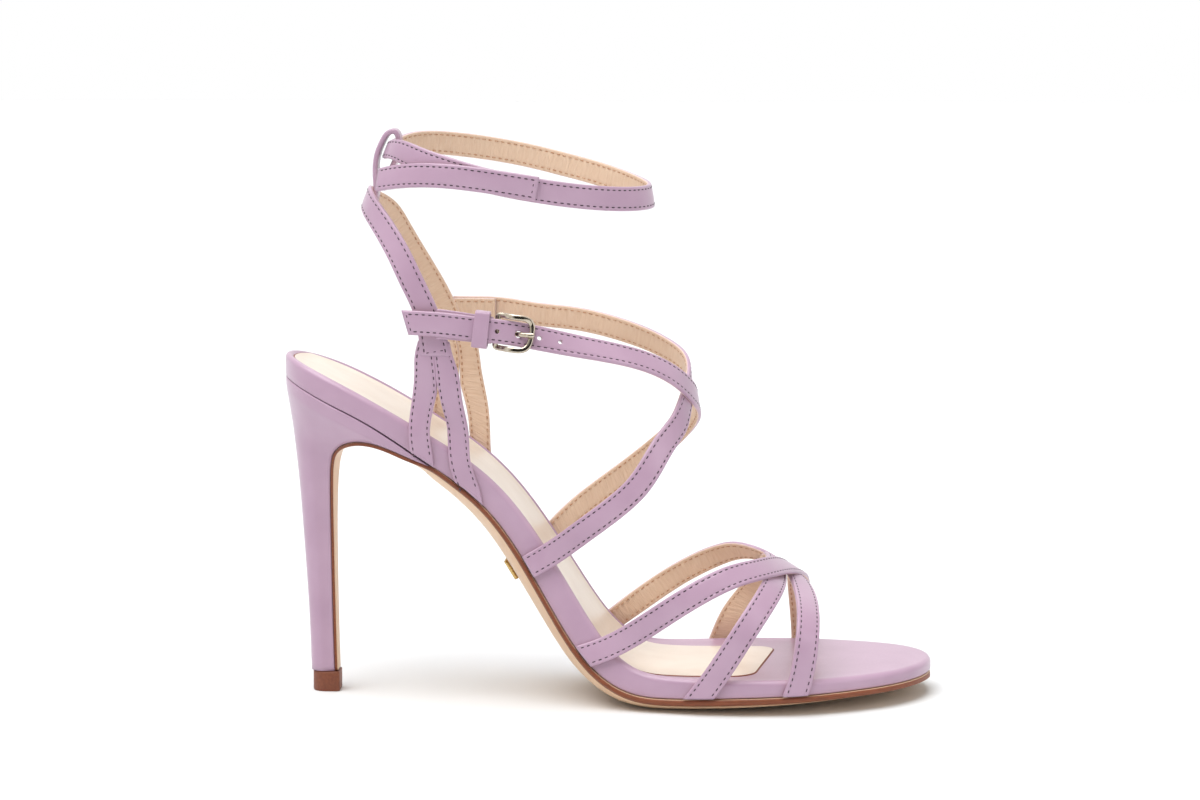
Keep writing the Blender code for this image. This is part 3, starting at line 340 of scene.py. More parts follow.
def ease(x):
    """Smooth step, 3x squared less 2x cubed."""
    x = np.clip(x, 0.0, 1.0)
    return x * x * (3 - 2 * x)


def unit(v):
    """Vectors divided by their lengths."""
    return v / np.maximum(np.linalg.norm(v, axis=-1, keepdims=True), 1e-12)


def bow(x):
    """Height of a quarter circle at a share of its radius: root of 1 less the square of 1 less x."""
    return np.sqrt(1 - (1 - np.clip(x, 0, 1)) ** 2)


def run_length(points):
    """Length along a line of points, from nought at the first one."""
    return np.concatenate([[0], np.cumsum(np.linalg.norm(np.diff(points, axis=0), axis=1))])


def left_of(run):
    """Flat directions turned a quarter to the left."""
    return np.stack([-run[:, 1], run[:, 0]], -1)


def spaced(count, first=0.0, last=1.0):
    """Shares that crowd towards both ends: four fifths of a half cosine wave and a fifth of a straight
    line."""
    u = np.linspace(0, 1, count)
    return first + (last - first) * (0.8 * (1 - np.cos(np.pi * u)) / 2 + 0.2 * u)


def sole_point(along, y, height):
    """Point over the footbed's crest line, its height taken upright at the seat and square to the line
    further on."""
    along = np.asarray(along, float)
    step = 1e-4
    rise = smooth(SOLE_LINE, np.stack([along - step, along, along + step]))[..., 0]
    slope = np.arctan2(HEEL_RISE * (rise[2] - rise[0]), 2 * step * SHOE_LENGTH)
    lean = -slope * ease(along * SHOE_LENGTH / UPRIGHT_SEAT)
    x = along * SHOE_LENGTH - SEAT_OVERHANG + height * np.sin(lean)
    z = FOREFOOT_TOP + HEEL_RISE * rise[1] + height * np.cos(lean)
    return np.stack([x, y + 0 * x, z], -1)


def sole_shape(along):
    """Centre, half width, footbed thickness and crown; the half width shrinks at both ends as a circle
    does."""
    centre, half, thick, crown = np.moveaxis(smooth(SOLE_SHAPE, along), -1, 0)
    ends = bow(along * SHOE_LENGTH / HEEL_ROUND) * bow((1 - along) * SHOE_LENGTH / TOE_ROUND)
    return centre * BALL_WIDTH, half * BALL_WIDTH * ends, thick * FOOTBED_THICK, crown * CROWN


def sole_loop(count, out=0.0):
    """Footbed outline, outer side forwards and inner side back, moved along its own normal."""
    along = spaced(count)
    centre, half = sole_shape(along)[:2]
    outer, inner = (np.stack([along * SHOE_LENGTH, centre + side * half], -1) for side in (-1, 1))
    flat = np.concatenate([outer, inner[-2:0:-1]])
    run = unit(np.roll(flat, -1, 0) - np.roll(flat, 1, 0))
    moved = flat - out * left_of(run)
    return moved[:, 0] / SHOE_LENGTH, moved[:, 1]


def dish(along, across):
    """Depth of the hollow: a parabola of the distance to the rim; half past the arch and none at the toe."""
    rim_along, rim_across = sole_loop(500)
    ahead = (np.ravel(along)[:, None] - rim_along) * SHOE_LENGTH
    gap = np.hypot(ahead, np.ravel(across)[:, None] - rim_across)
    inwards = np.clip((gap.min(1).reshape(np.shape(along)) - DISH_FROM) / DISH_RUN, 0, 1)
    fade = sum(ease((along - start) / (end - start)) for start, end in DISH_FADES)
    return -DISH_DEPTH * (1 - fade / 2) * (1 - (1 - inwards) ** 2)


def last_point(station, turn):
    """Point on the last: a row of ovals whose cosine and sine are raised to a power under 1 in their back
    half."""
    rows = np.column_stack([np.arange(len(LAST)), np.asarray(LAST)])
    row = smooth(rows, station)
    back = row[..., 0:2] * (SHOE_LENGTH, HEEL_HEIGHT)
    front = row[..., 2:4] * (SHOE_LENGTH, HEEL_HEIGHT)
    c, s = np.cos(np.radians(turn)), np.sin(np.radians(turn))
    square = 1 - (1 - LAST_SQUARE) * ease((12.0 - np.asarray(station)) / 3.0)
    power = np.where(c < 0, square, 1.0)
    c, s = np.sign(c) * np.abs(c) ** power, np.sign(s) * np.abs(s) ** power
    side = (back + front) / 2 + (front - back) / 2 * c[..., None]
    across = s * np.where(s < 0, row[..., 4], row[..., 5]) * BALL_WIDTH
    return np.stack([side[..., 0], across, side[..., 1]], -1)


def last_normal(station, turn):
    """Direction off the last: the cross product of its two slopes, turned outwards."""
    up = last_point(station + 1e-3, turn) - last_point(station - 1e-3, turn)
    round_ = last_point(station, turn + 0.5) - last_point(station, turn - 0.5)
    normal = unit(np.cross(up, round_))
    middle = (last_point(station, 0 * turn) + last_point(station, 0 * turn + 180.0)) / 2
    out = last_point(station, turn) - middle
    return normal * np.sign((normal * out).sum(-1, keepdims=True))


def sole_height(point):
    """Height of a point over the crest line and its share of the length, where the wall through it
    crosses."""
    along = np.linspace(0.02, 0.98, 600)
    base = sole_point(along, 0.0, 0.0)[:, ::2]
    wall = sole_point(along, 0.0, 1.0)[:, ::2] - base
    rel = point[[0, 2]] - base
    cross = rel[:, 0] * wall[:, 1] - rel[:, 1] * wall[:, 0]
    turns = np.flatnonzero(np.diff(np.sign(cross)))
    best = turns[np.argmin(np.linalg.norm(rel[turns], axis=1))]
    share = cross[best] / (cross[best] - cross[best + 1])
    at = along[best] + share * (along[1] - along[0])
    return (rel[best] * wall[best]).sum() * (1 - share) + (rel[best + 1] * wall[best + 1]).sum() * share, at


def outsole_half(along):
    """Half width of the outsole: the footbed's, and a margin that grows in front of the breast."""
    return sole_shape(along)[1] + EDGE_OUT * np.minimum(1, (along - EDGE_FROM) * EDGE_GROWS)


def mating_line(count):
    """Line where the outsole meets heel and footbed, from the breast's foot to the toe: x, z, centre,
    half, crown and edge at each place, and the shares of the length of the places under the footbed."""
    rows = []
    for forward, up, _, _, half, stem in HEEL_LINES[::-1]:
        edge = FLAP_THICK * stem + EDGE_THICK * (1 - stem)
        wide = half * (FLAP_NARROWS * stem + 1 - stem) * BALL_WIDTH
        crown = CROWN_ON_HEEL * CROWN * (1 - stem)
        rows.append((forward * SHOE_LENGTH, up * HEEL_HEIGHT, 0.0, wide, crown, edge))
    rows[0] = (rows[0][0], TOP_PIECE_HEIGHT + FLAP_GAP, *rows[0][2:])
    along = spaced(count)
    along = np.minimum(along[along > BREAST_ALONG], TOE_ALONG)
    centre, _, thick, crown = sole_shape(along)
    under = sole_point(along, 0.0, -thick - FIT)
    edge = np.full(len(along), EDGE_THICK)
    sole = np.stack([under[:, 0], under[:, 2], centre, outsole_half(along), crown, edge], -1)
    return np.concatenate([np.asarray(rows), sole]), along


def foot_rows(name):
    """Three rows of a strap's foot down the rim's wall: place, the wall's direction, and shares of width and
    thickness."""
    side, top, under = FEET[name]
    along = np.array([top, (top + under) / 2, under])
    step = 1e-3
    centre, half, thick = sole_shape(along)[:3]
    before, after = sole_shape(along - step), sole_shape(along + step)
    spread = ((after[0] + side * after[1]) - (before[0] + side * before[1])) / (2 * step * SHOE_LENGTH)
    height = np.array([-FOOT_TOP, -FOOT_MIDDLE - thick[1] / 2, -thick[2] - FOOT_UNDER])
    run = unit(sole_point(along + step, 0.0, height) - sole_point(along - step, 0.0, height))
    wall = unit(side * np.array([0.0, 1.0, 0.0]) - side * spread[:, None] * run)
    out = FOOT_GAP + STRAP_THICK * FOOT_SKIVE / 2
    spot = sole_point(along, centre + side * half, height) + out * wall
    return np.column_stack([spot, wall, np.ones(3), np.full(3, FOOT_SKIVE)])


class Strap:
    """A flat strap along rows on the last; an end with a foot runs down the rim to just over the outsole."""

    def __init__(
        self, rows, first=None, last=None, width=STRAP_WIDTH, closed=False, slant=0.0, lean=((0.0, 0.0),)
    ):
        rows = np.array([row + PLAIN_ROW[len(row):] for row in rows])
        if closed:
            turn = np.array([0.0, 360.0, 0.0, 0.0])
            rows = np.concatenate([rows[-3:] - turn, rows, rows[:4] + turn])
        station, angle, lift, wide = rows.T
        normal = last_normal(station, angle)
        centre = last_point(station, angle) + normal * ((lift + 0.5) * STRAP_THICK)[:, None]
        normal = unit(normal + np.interp(angle, *np.transpose(lean))[:, None] * (0.0, 0.0, 1.0))
        table = np.column_stack([centre, normal, wide, np.ones(len(rows))])
        if first:
            table = np.concatenate([foot_rows(first)[::-1], table])
        if last:
            table = np.concatenate([table, foot_rows(last)])
        key = run_length(table[:, :3])
        self.table = np.column_stack([key, table * ([1.0] * 6 + [width, STRAP_THICK])])
        self.closed, self.slant, self.width = closed, slant, width
        self.start, self.end = (key[3], key[-4]) if closed else (key[0], key[-1])
        self.cut = (
            self.trim(key[0], key[3]) if first else None,
            self.trim(key[-1], key[-4]) if last else None,
        )
        self.gaps = (None, None)

    def frame(self, at):
        """Centre, side, outward direction, width and thickness at a length; the run is the centre line's
        slope."""
        at = np.asarray(at, float)
        row = smooth(self.table, at)
        run = unit(smooth(self.table, at + 1e-4)[..., 0:3] - smooth(self.table, at - 1e-4)[..., 0:3])
        out = unit(row[..., 3:6] - run * (row[..., 3:6] * run).sum(-1, keepdims=True))
        return row[..., 0:3], np.cross(out, run), out, row[..., 6], row[..., 7]

    def trim(self, low, high):
        """Length at which each edge of the foot meets the line just over the outsole, by halving."""
        cuts = []
        for edge in (-0.5, 0.5):
            a, b = low, high
            for _ in range(30):
                middle = (a + b) / 2
                centre, side, out, width, thick = self.frame(middle)
                height, along = sole_height(centre + side * width * edge - out * thick / 2)
                under = height < -sole_shape(along)[2] + FIT
                a, b = (middle, b) if under else (a, middle)
            cuts.append((a + b) / 2)
        return cuts

    def span(self, share):
        """First and last length at a share of the width, with slanted tips and trimmed feet."""
        edge = np.asarray(share) * 2
        first, last = self.cut
        start = self.start + edge * 0 if first is None else np.interp(edge, (-1, 1), first)
        end = self.end + edge * 0 if last is None else np.interp(edge, (-1, 1), last)
        if first is None and not self.closed:
            start = start + self.slant * (1 - edge) / 2
        return start, end

    def edges(self, centre, width):
        """Shares of the width at the two edges. Towards a neighbour an edge lies midway up to MEET, and
        then goes slowly back to half the width."""
        shares = []
        for gap in self.gaps:
            share = gap(centre) / width if gap else np.full(len(width), 0.5)
            shares.append(np.minimum(share, np.maximum(0.5, MEET - MEET_SLOPE * (share - MEET))))
        return -shares[0], shares[1]

    def grid(self, section):
        """Sections along the strap, fitted between its edges, and the length at each row."""
        across, up = section.T
        start, end = self.span(across)
        count = max(3, int(math.ceil((self.end - self.start) / STRAP_STEP)) + 1)
        share = np.linspace(0, 1, count)[:, None]
        if self.closed:
            share = share[:-1]
        at = start + (end - start) * share
        centre, side, out, width, thick = self.frame(at)
        if any(self.gaps):
            low, high = self.edges(centre[:, 0], width.mean(1))
            across = low[:, None] + (across + 0.5) * (high - low)[:, None]
        return centre + side * (across * width)[..., None] + out * (up * thick)[..., None], at.mean(1)

    def place(self, length, across, up):
        """Point at a length from the start, across the strap and over its outer face."""
        centre, side, out, _, thick = self.frame(self.start + np.asarray(length, float))
        return centre + side * np.asarray(across)[..., None] + out * (np.asarray(up) + thick / 2)[..., None]


# Meshes


class Mesh:
    """Points, faces, material numbers and UVs of a piece, gathered part by part."""

    def __init__(self):
        self.points, self.faces, self.slots, self.uvs, self.count = [], [], [], [], 0

    def add(self, points, faces, slots, uvs):
        """Adds a part whose faces point outwards; a part with a negative volume is turned round."""
        points = np.asarray(points, float)
        volume = sum(
            np.einsum("ij,ij->i", points[f[:, 0]], np.cross(points[f[:, i]], points[f[:, i + 1]])).sum()
            for f in faces
            for i in range(1, f.shape[1] - 1)
        )
        for f, s, uv in zip(faces, slots, uvs):
            if volume < 0:
                f, uv = f[:, ::-1], uv[:, ::-1]
            self.faces.append(f + self.count)
            self.slots.append(s)
            self.uvs.append(uv)
        self.points.append(points)
        self.count += len(points)
        return self

    def shape(self, name):
        """The bare Blender mesh."""
        mesh = bpy.data.meshes.new(name)
        faces = [face for part in self.faces for face in part.tolist()]
        mesh.from_pydata(np.concatenate(self.points).tolist(), [], faces)
        return mesh

    def build(self, name, materials, body_slot, replaces=()):
        """The Blender object with its materials and UVs, riding on the root."""
        mesh = self.shape(name)
        for made in materials:
            mesh.materials.append(made)
        mesh.polygons.foreach_set("material_index", np.concatenate(self.slots).astype(np.int32))
        mesh.polygons.foreach_set("use_smooth", np.ones(len(mesh.polygons), bool))
        layer = mesh.uv_layers.new(name="UVMap")
        layer.data.foreach_set("uv", np.concatenate([uv.reshape(-1) for uv in self.uvs]).astype(np.float32))
        mesh.update()
        piece = bpy.data.objects.new(name, mesh)
        bpy.context.scene.collection.objects.link(piece)
        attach(piece, "root")
        if replaces:
            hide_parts(*replaces)
        return piece


def skin(rows, column_slots=None, length=None, around=None, loop=False, cap_slot=0):
    """Quads between neighbouring points of a grid whose rows are rings; caps pair each end ring's two
    sides."""
    rows = np.asarray(rows, float)
    n, m = rows.shape[:2]
    length = run_length(rows.mean(1)) if length is None else length
    around = run_length(rows[n // 2]) if around is None else around
    length = np.append(length, length[-1] + (length[-1] - length[-2]))
    around = np.append(around, around[-1] + np.linalg.norm(rows[n // 2, 0] - rows[n // 2, -1]))
    i, k = np.meshgrid(np.arange(n if loop else n - 1), np.arange(m), indexing="ij")
    i, k = i.ravel(), k.ravel()
    j, l = (i + 1) % n, (k + 1) % m
    quads = np.stack([i * m + k, i * m + l, j * m + l, j * m + k], -1)
    u = np.stack([length[i], length[i], length[i + 1], length[i + 1]], -1)
    v = np.stack([around[k], around[k + 1], around[k + 1], around[k]], -1)
    slots = np.zeros(len(quads), int) if column_slots is None else np.asarray(column_slots)[k]
    faces, kinds, uvs = [quads], [slots], [np.stack([u, v], -1)]
    if not loop:
        left = np.arange(1, (m - 1) // 2)
        pairs = np.stack([left, left + 1, m - left - 1, m - left], -1)
        triangles = np.array([[0, 1, m - 1]] + ([] if m % 2 else [[m // 2 - 1, m // 2, m // 2 + 1]]))
        for row, order in ((0, -1), (n - 1, 1)):
            for part in (pairs[:, ::order], triangles[:, ::order]):
                faces.append(part + row * m)
                kinds.append(np.full(len(part), cap_slot))
                flat = rows[row][part]
                uvs.append(np.stack([flat[..., 0] + flat[..., 2], flat[..., 1]], -1))
    return rows.reshape(-1, 3), faces, kinds, uvs


def mirrored(half):
    """A half section, its middle point, and the half's mirror image."""
    rise = FACE_RISE if half[-1][1] > 0 else 0.0
    return [*half, (0.0, half[-1][1] + rise), *((-x, y) for x, y in half[::-1])]


def add_strap(mesh, strap):
    """A lined strap's skin: its section carried along its centre line, with calf, edge and lining round
    it."""
    face, lining = mirrored(FACE_SECTION), mirrored(LINING_SECTION)
    kinds = [0] * (len(face) - 1) + [1, 1] + [2] * (len(lining) - 3) + [1, 1]
    section = np.array(face + lining)
    points, length = strap.grid(section)
    around = run_length(section * (STRAP_WIDTH, STRAP_THICK))
    return mesh.add(*skin(points, kinds, length, around, loop=strap.closed))


def stitch_faces(count):
    """Faces of a row of capsules: four rings of six and a point at each end, repeated."""
    ring, side = np.meshgrid(np.arange(3), np.arange(6), indexing="ij")
    a, b = (ring * 6 + side).ravel(), (ring * 6 + (side + 1) % 6).ravel()
    quads = np.stack([a, b, b + 6, a + 6], -1)
    s = np.arange(6)
    near = np.stack([s * 0 + 24, (s + 1) % 6, s], -1)
    far = np.stack([s * 0 + 25, 18 + s, 18 + (s + 1) % 6], -1)
    shift = (np.arange(count) * 26)[:, None, None]
    return (quads + shift).reshape(-1, 4), (np.concatenate([near, far]) + shift).reshape(-1, 3)


def add_stitches(mesh, strap, path, up, thread, slot):
    """Stitches at even steps along a path given as length and across; each is a capsule laid along the
    path."""
    path = np.asarray(path, float)
    key = run_length(path)
    count = int(key[-1] / thread.pitch)
    if count < 1:
        return
    middle = (np.arange(count) + 0.5) * key[-1] / count
    at, before, after = (
        np.stack([np.interp(middle + shift, key, path[:, i]) for i in (0, 1)], -1)
        for shift in (0.0, -3e-4, 3e-4)
    )
    run = unit(after - before)
    swell = STITCH_THICK[:, None] * thread.radius
    ahead = run[:, None, None] * (STITCH_ALONG[:, None] * thread.length)[..., None]
    aside = left_of(run)[:, None, None] * (swell * np.cos(STITCH_TURNS))[..., None]
    dive = STITCH_DIVE * thread.radius * (2 * STITCH_ALONG[:, None]) ** 2
    plan = at[:, None, None] + ahead + aside
    height = swell * np.sin(STITCH_TURNS) * STITCH_FLAT - dive
    body = strap.place(plan[..., 0], plan[..., 1], up + height).reshape(count, 24, 3)
    tips = at[:, None] + run[:, None] * (np.array([-0.5, 0.5]) * thread.length)[:, None]
    caps = strap.place(tips[..., 0], tips[..., 1], up - STITCH_TIP * thread.radius)
    faces = stitch_faces(count)
    kinds = [np.full(len(part), slot) for part in faces]
    uvs = [np.zeros((*part.shape, 2)) for part in faces]
    mesh.add(np.concatenate([body, caps], 1).reshape(-1, 3), faces, kinds, uvs)


def seam(mesh, strap, path, thread):
    """The same stitches on the face and, from the other side, on the lining."""
    add_stitches(mesh, strap, path, ON_FACE, thread, 0)
    add_stitches(mesh, strap, path, ON_LINING, thread, 1)
    return mesh


def edge_path(strap, thread, side, first=0.0008, last=0.0008):
    """Path inside a strap's edge, kept clear of its ends."""
    share = side * (0.5 - thread.inset / strap.width)
    start, end = strap.span(share)
    at = np.linspace(float(start) + first, float(end) - last, 60) - strap.start
    return np.stack([at, share * strap.frame(at + strap.start)[3]], -1)


def both_edges(mesh, strap, thread, *ends):
    """A row of stitches along each edge of a strap."""
    for side in (-1, 1):
        seam(mesh, strap, edge_path(strap, thread, side, *ends), thread)
    return mesh


def tube_points(line, profile, flat=None):
    """A profile carried along a line: its first axis lies in the line's plane, its second square to it."""
    line = np.asarray(line)
    run = unit(np.gradient(line, axis=0))
    if flat is None:
        flat = np.linalg.svd(line - line.mean(0))[2][2]
    side = unit(np.cross(run, flat))
    up = np.cross(side, run)
    profile = np.asarray(profile)
    if profile.ndim == 2:
        profile = profile[None]
    return line[:, None] + side[:, None] * profile[..., :1] + up[:, None] * profile[..., 1:]


def rounded(width, height, corner, sides=4):
    """Outline of a rectangle with quarter circles at its corners, starting at its left side,
    anticlockwise seen along."""
    turn = np.linspace(0, math.pi / 2, sides + 1)
    x, y = width / 2 - corner, height / 2 - corner
    parts = []
    for number, (cx, cy) in enumerate(((x, y), (-x, y), (-x, -y), (x, -y))):
        angle = turn + number * math.pi / 2
        parts.append(np.stack([cx + corner * np.cos(angle), cy + corner * np.sin(angle)], -1))
    return np.concatenate(parts)


# Materials


def linear(hex_colour):
    """sRGB hex to linear light: a straight part under 0.04045 and a power of 2.4 above."""
    values = [int(hex_colour[i : i + 2], 16) / 255 for i in (1, 3, 5)]
    return tuple(v / 12.92 if v <= 0.04045 else ((v + 0.055) / 1.055) ** 2.4 for v in values)


def add(tree, kind, links=(), **settings):
    """Adds a node. A link is a socket and the source, or the plain value, that goes into it. A setting
    named after a socket sets it, and any other sets the node."""
    made = tree.nodes.new("ShaderNode" + kind)
    for key, value in settings.items():
        if hasattr(made, key):
            setattr(made, key, value)
    for key, value in settings.items():
        if not hasattr(made, key):
            name = key.replace("_", " ").title()
            next(s for s in made.inputs if s.name.title() == name and s.enabled).default_value = value
    for name, source in links:
        if isinstance(source, bpy.types.NodeSocket):
            tree.links.new(source, made.inputs[name])
        else:
            made.inputs[name].default_value = source
    return made


def start_material(name, colour, roughness, **settings):
    """A new Principled material, and its tree, shader and texture coordinates."""
    made = bpy.data.materials.new(name)
    made.use_nodes = True
    tree = made.node_tree
    shader = tree.nodes["Principled BSDF"]
    shader.inputs["Base Color"].default_value = (*colour, 1.0)
    shader.inputs["Roughness"].default_value = roughness
    for key, value in settings.items():
        shader.inputs[key.replace("_", " ").title()].default_value = value
    made.diffuse_color = (*colour, 1.0)
    return made, tree, shader, add(tree, "TexCoord")


def finish(tree, shader, source, tones, size, contrast, relief, gloss=None):
    """Detail of a surface. Base colour: cloud noise of a size in metres runs between a deep and a light tone.
    Relief: bumps stacked from heights, each with its depth in metres and its strength. Gloss: roughness runs
    between two values with a height. A height of None is the cloud noise."""
    clouds = add(tree, "TexNoise", [("Vector", source)], noise_dimensions="3D", scale=1.0 / size, detail=3.0)
    ramp = add(tree, "ValToRGB", [("Fac", clouds.outputs["Fac"])])
    for stop, tone, side in zip(ramp.color_ramp.elements, tones, (-1, 1)):
        stop.position, stop.color = 0.5 + side * contrast / 2, (*tone, 1.0)
    tree.links.new(ramp.outputs["Color"], shader.inputs["Base Color"])
    if gloss:
        height, low, high = gloss
        spread = add(tree, "MapRange", [("Value", height or clouds.outputs["Fac"])], to_min=low, to_max=high)
        tree.links.new(spread.outputs["Result"], shader.inputs["Roughness"])
    under = []
    for height, depth, strength in relief:
        links = [("Height", height or clouds.outputs["Fac"]), *under]
        normal = add(tree, "Bump", links, strength=strength, distance=depth).outputs["Normal"]
        under = [("Normal", normal)]
    tree.links.new(normal, shader.inputs["Normal"])


def lilac_calf(colours):
    """Drum-dyed, lightly finished calf: soft tonal clouds, faint folds 6.5 mm apart and a low satin
    gloss. Its pores are 0.3 mm apart, and are drawn at 0.6 mm so that they show."""
    made, tree, shader, place = start_material(
        "lilac calf, drum dyed", colours.lilac, 0.42,
        coat_weight=0.28, coat_roughness=0.26, sheen_weight=0.12, sheen_roughness=0.4,
    )
    source = place.outputs["Object"]
    at = [("Vector", source)]
    pores = add(tree, "TexVoronoi", at, feature="DISTANCE_TO_EDGE", scale=1.0 / 0.0006, randomness=1.0)
    cells = add(tree, "MapRange", [("Value", pores.outputs["Distance"])], from_max=0.25, to_max=1.0)
    fine = add(tree, "TexNoise", at, scale=1.0 / 0.0009, detail=4.0).outputs["Fac"]
    folds = add(tree, "TexNoise", at, scale=1.0 / 0.0065, detail=2.0).outputs["Fac"]
    relief = ((folds, 0.0006, 0.10), (fine, 0.00010, 0.20), (cells.outputs["Result"], 0.00003, 0.22))
    finish(tree, shader, source, (colours.lilac_deep, colours.lilac), 0.020, 0.55, relief, (fine, 0.28, 0.44))
    return made


def lining_calf(colours):
    """Undyed vegetable-tanned lining calf: matte, creased across the strap by its bends. The creases follow
    the strap's UVs, about 0.8 mm from fold to fold along it and six times as long across; the fine grain is
    0.6 mm. Its tone runs in streaks of the same stretch between a deeper and a lighter tan: partly the
    leather's own uneven tone, partly painted shade standing for the creases' shadows."""
    made, tree, shader, place = start_material("tan lining calf", colours.lining, 0.48, sheen_weight=0.08)
    stretch = add(tree, "Mapping", [("Vector", place.outputs["UV"]), ("Scale", (1.0, 0.16, 1.0))])
    across = stretch.outputs["Vector"]
    creases = add(tree, "TexNoise", [("Vector", across)], scale=1.0 / 0.0008, detail=3.0, distortion=0.6)
    fine = add(tree, "TexNoise", [("Vector", place.outputs["Object"])], scale=1.0 / 0.0006, detail=3.0)
    creases, fine = creases.outputs["Fac"], fine.outputs["Fac"]
    # Deeper tan in crease-like streaks: partly the leather's own tone, partly painted crease shade.
    tones = (colours.lining_deep_and_crease_shade, colours.lining)
    relief = ((creases, 0.0005, 0.8), (fine, 0.00005, 0.25))
    finish(tree, shader, across, tones, 0.0008, 1.0, relief, (creases, 0.36, 0.60))
    return made


def cut_edge_with_painted_highlight(colours):
    """Cut and inked edge of the lining: a thin warm line between calf and lining, matte, with fibre 1.6 mm
    long. Its pale pink is partly the ink's own colour and partly a painted highlight, lightened to stand for
    the light that the rounded strap edges catch."""
    made, tree, shader, place = start_material("inked cut edge", colours.edge, 0.6)
    tones = (colours.edge, colours.lining)
    finish(tree, shader, place.outputs["Object"], tones, 0.0016, 0.7, [(None, 0.00008, 0.4)])
    return made


def bonded_thread(name, colour, deep):
    """Bonded polyester thread of 0.5 mm: its tight twist shows as fine ribs with a slight shine."""
    made, tree, shader, place = start_material(name, colour, 0.55, sheen_weight=0.2)
    finish(tree, shader, place.outputs["Object"], (deep, colour), 0.0005, 0.4, [(None, 0.00008, 0.5)])
    return made


def sock_leather(colours):
    """Pearl-finished goat lining: pale flakes in the topcoat give a soft metallic satin over a faint
    grain, which is 0.5 mm wide and is drawn at 1.1 mm so that it shows."""
    made, tree, shader, place = start_material(
        "cream pearl sock leather", colours.sock, 0.36, metallic=0.12, coat_weight=0.15, coat_roughness=0.3
    )
    source = place.outputs["Object"]
    at = [("Vector", source)]
    grain = add(tree, "TexVoronoi", at, feature="SMOOTH_F1", scale=1.0 / 0.0011, smoothness=0.6)
    fine = add(tree, "TexNoise", at, scale=1.0 / 0.0007, detail=4.0).outputs["Fac"]
    relief = ((grain.outputs["Distance"], 0.00008, 0.25), (fine, 0.00006, 0.3))
    finish(tree, shader, source, (colours.sock_deep, colours.sock), 0.012, 0.6, relief, (fine, 0.28, 0.46))
    return made


def sole_leather(colours):
    """Oak-bark bend leather, buffed and waxed: fibres about 0.5 mm apart, and faint marks of the buffing
    wheel, 1.2 mm apart, which run four times as long along the sole."""
    made, tree, shader, place = start_material(
        "buffed sole leather", colours.sole, 0.45, coat_weight=0.1, coat_roughness=0.4
    )
    source = place.outputs["Object"]
    along = add(tree, "Mapping", [("Vector", source), ("Scale", (0.25, 1.0, 0.25))]).outputs["Vector"]
    marks = add(tree, "TexNoise", [("Vector", along)], scale=1.0 / 0.0012, detail=4.0).outputs["Fac"]
    fibre = add(tree, "TexNoise", [("Vector", source)], scale=1.0 / 0.0005, detail=3.0).outputs["Fac"]
    relief = ((marks, 0.00008, 0.3), (fibre, 0.00005, 0.3))
    finish(tree, shader, source, (colours.sole_deep, colours.sole), 0.018, 0.6, relief, (marks, 0.34, 0.58))
    return made


def burnished_edge(colours):
    """Ironed and waxed sole edge: layers of fibre 0.6 mm thick run along it, darker where the iron
    pressed hardest."""
    made, tree, shader, place = start_material(
        "burnished sole edge", colours.burnish, 0.5, coat_weight=0.05, coat_roughness=0.3
    )
    along = add(tree, "Mapping", [("Vector", place.outputs["Object"]), ("Scale", (0.18, 0.18, 1.0))])
    tones = (colours.burnish_deep, colours.burnish)
    finish(tree, shader, along.outputs["Vector"], tones, 0.0006, 0.7, [(None, 0.00010, 0.35)])
    return made


def top_piece_rubber(colours):
    """Moulded polyurethane top piece: a fine stipple of 0.9 mm from the mould, matte on its sides."""
    made, tree, shader, place = start_material("moulded brown top piece", colours.rubber, 0.52)
    tones = (colours.rubber_deep, colours.rubber)
    finish(tree, shader, place.outputs["Object"], tones, 0.0009, 0.6, [(None, 0.00008, 0.35)])
    return made


def plated_metal(name, colour, deep, roughness):
    """Cast and tumbled zinc, plated: mirror-like, with faint tumbling marks 1.2 mm across and a deeper
    tone in them."""
    made, tree, shader, place = start_material(name, colour, roughness, metallic=1.0)
    gloss = (None, roughness * 0.7, roughness * 1.6)
    finish(tree, shader, place.outputs["Object"], (deep, colour), 0.0012, 0.5, [(None, 0.00002, 0.08)], gloss)
    return made


def made_once(name, build, *arguments):
    """The material of this name, built the first time that it is asked for."""
    return bpy.data.materials.get(name) or build(*arguments)


def strap_materials(scene):
    """Calf, inked edge with its painted highlight, and lining, in the order of a strap's faces."""
    colours = scene.sandal_leather
    return [
        made_once("lilac calf, drum dyed", lilac_calf, colours),
        made_once("inked cut edge", cut_edge_with_painted_highlight, colours),
        made_once("tan lining calf", lining_calf, colours),
    ]


def thread_materials(scene):
    """Thread on the face and on the lining."""
    colours = scene.sandal_leather
    return [
        made_once("plum thread", bonded_thread, "plum thread", colours.thread, colours.thread_deep),
        made_once("tan thread", bonded_thread, "tan thread", colours.lining_thread, colours.lining_deep_and_crease_shade),
    ]


def edge_material(scene):
    """The sole's burnish, which also inks the edge of the sock."""
    return made_once("burnished sole edge", burnished_edge, scene.sandal_sole)


# Pieces


def fold_steps():
    """Inset and rise of each step of a cover's turned-in edge, a quarter circle."""
    turn = np.linspace(0, 1, 4) * math.pi / 2
    return zip(FOLD * (1 - np.sin(turn)), FOLD * (1 - np.cos(turn)))


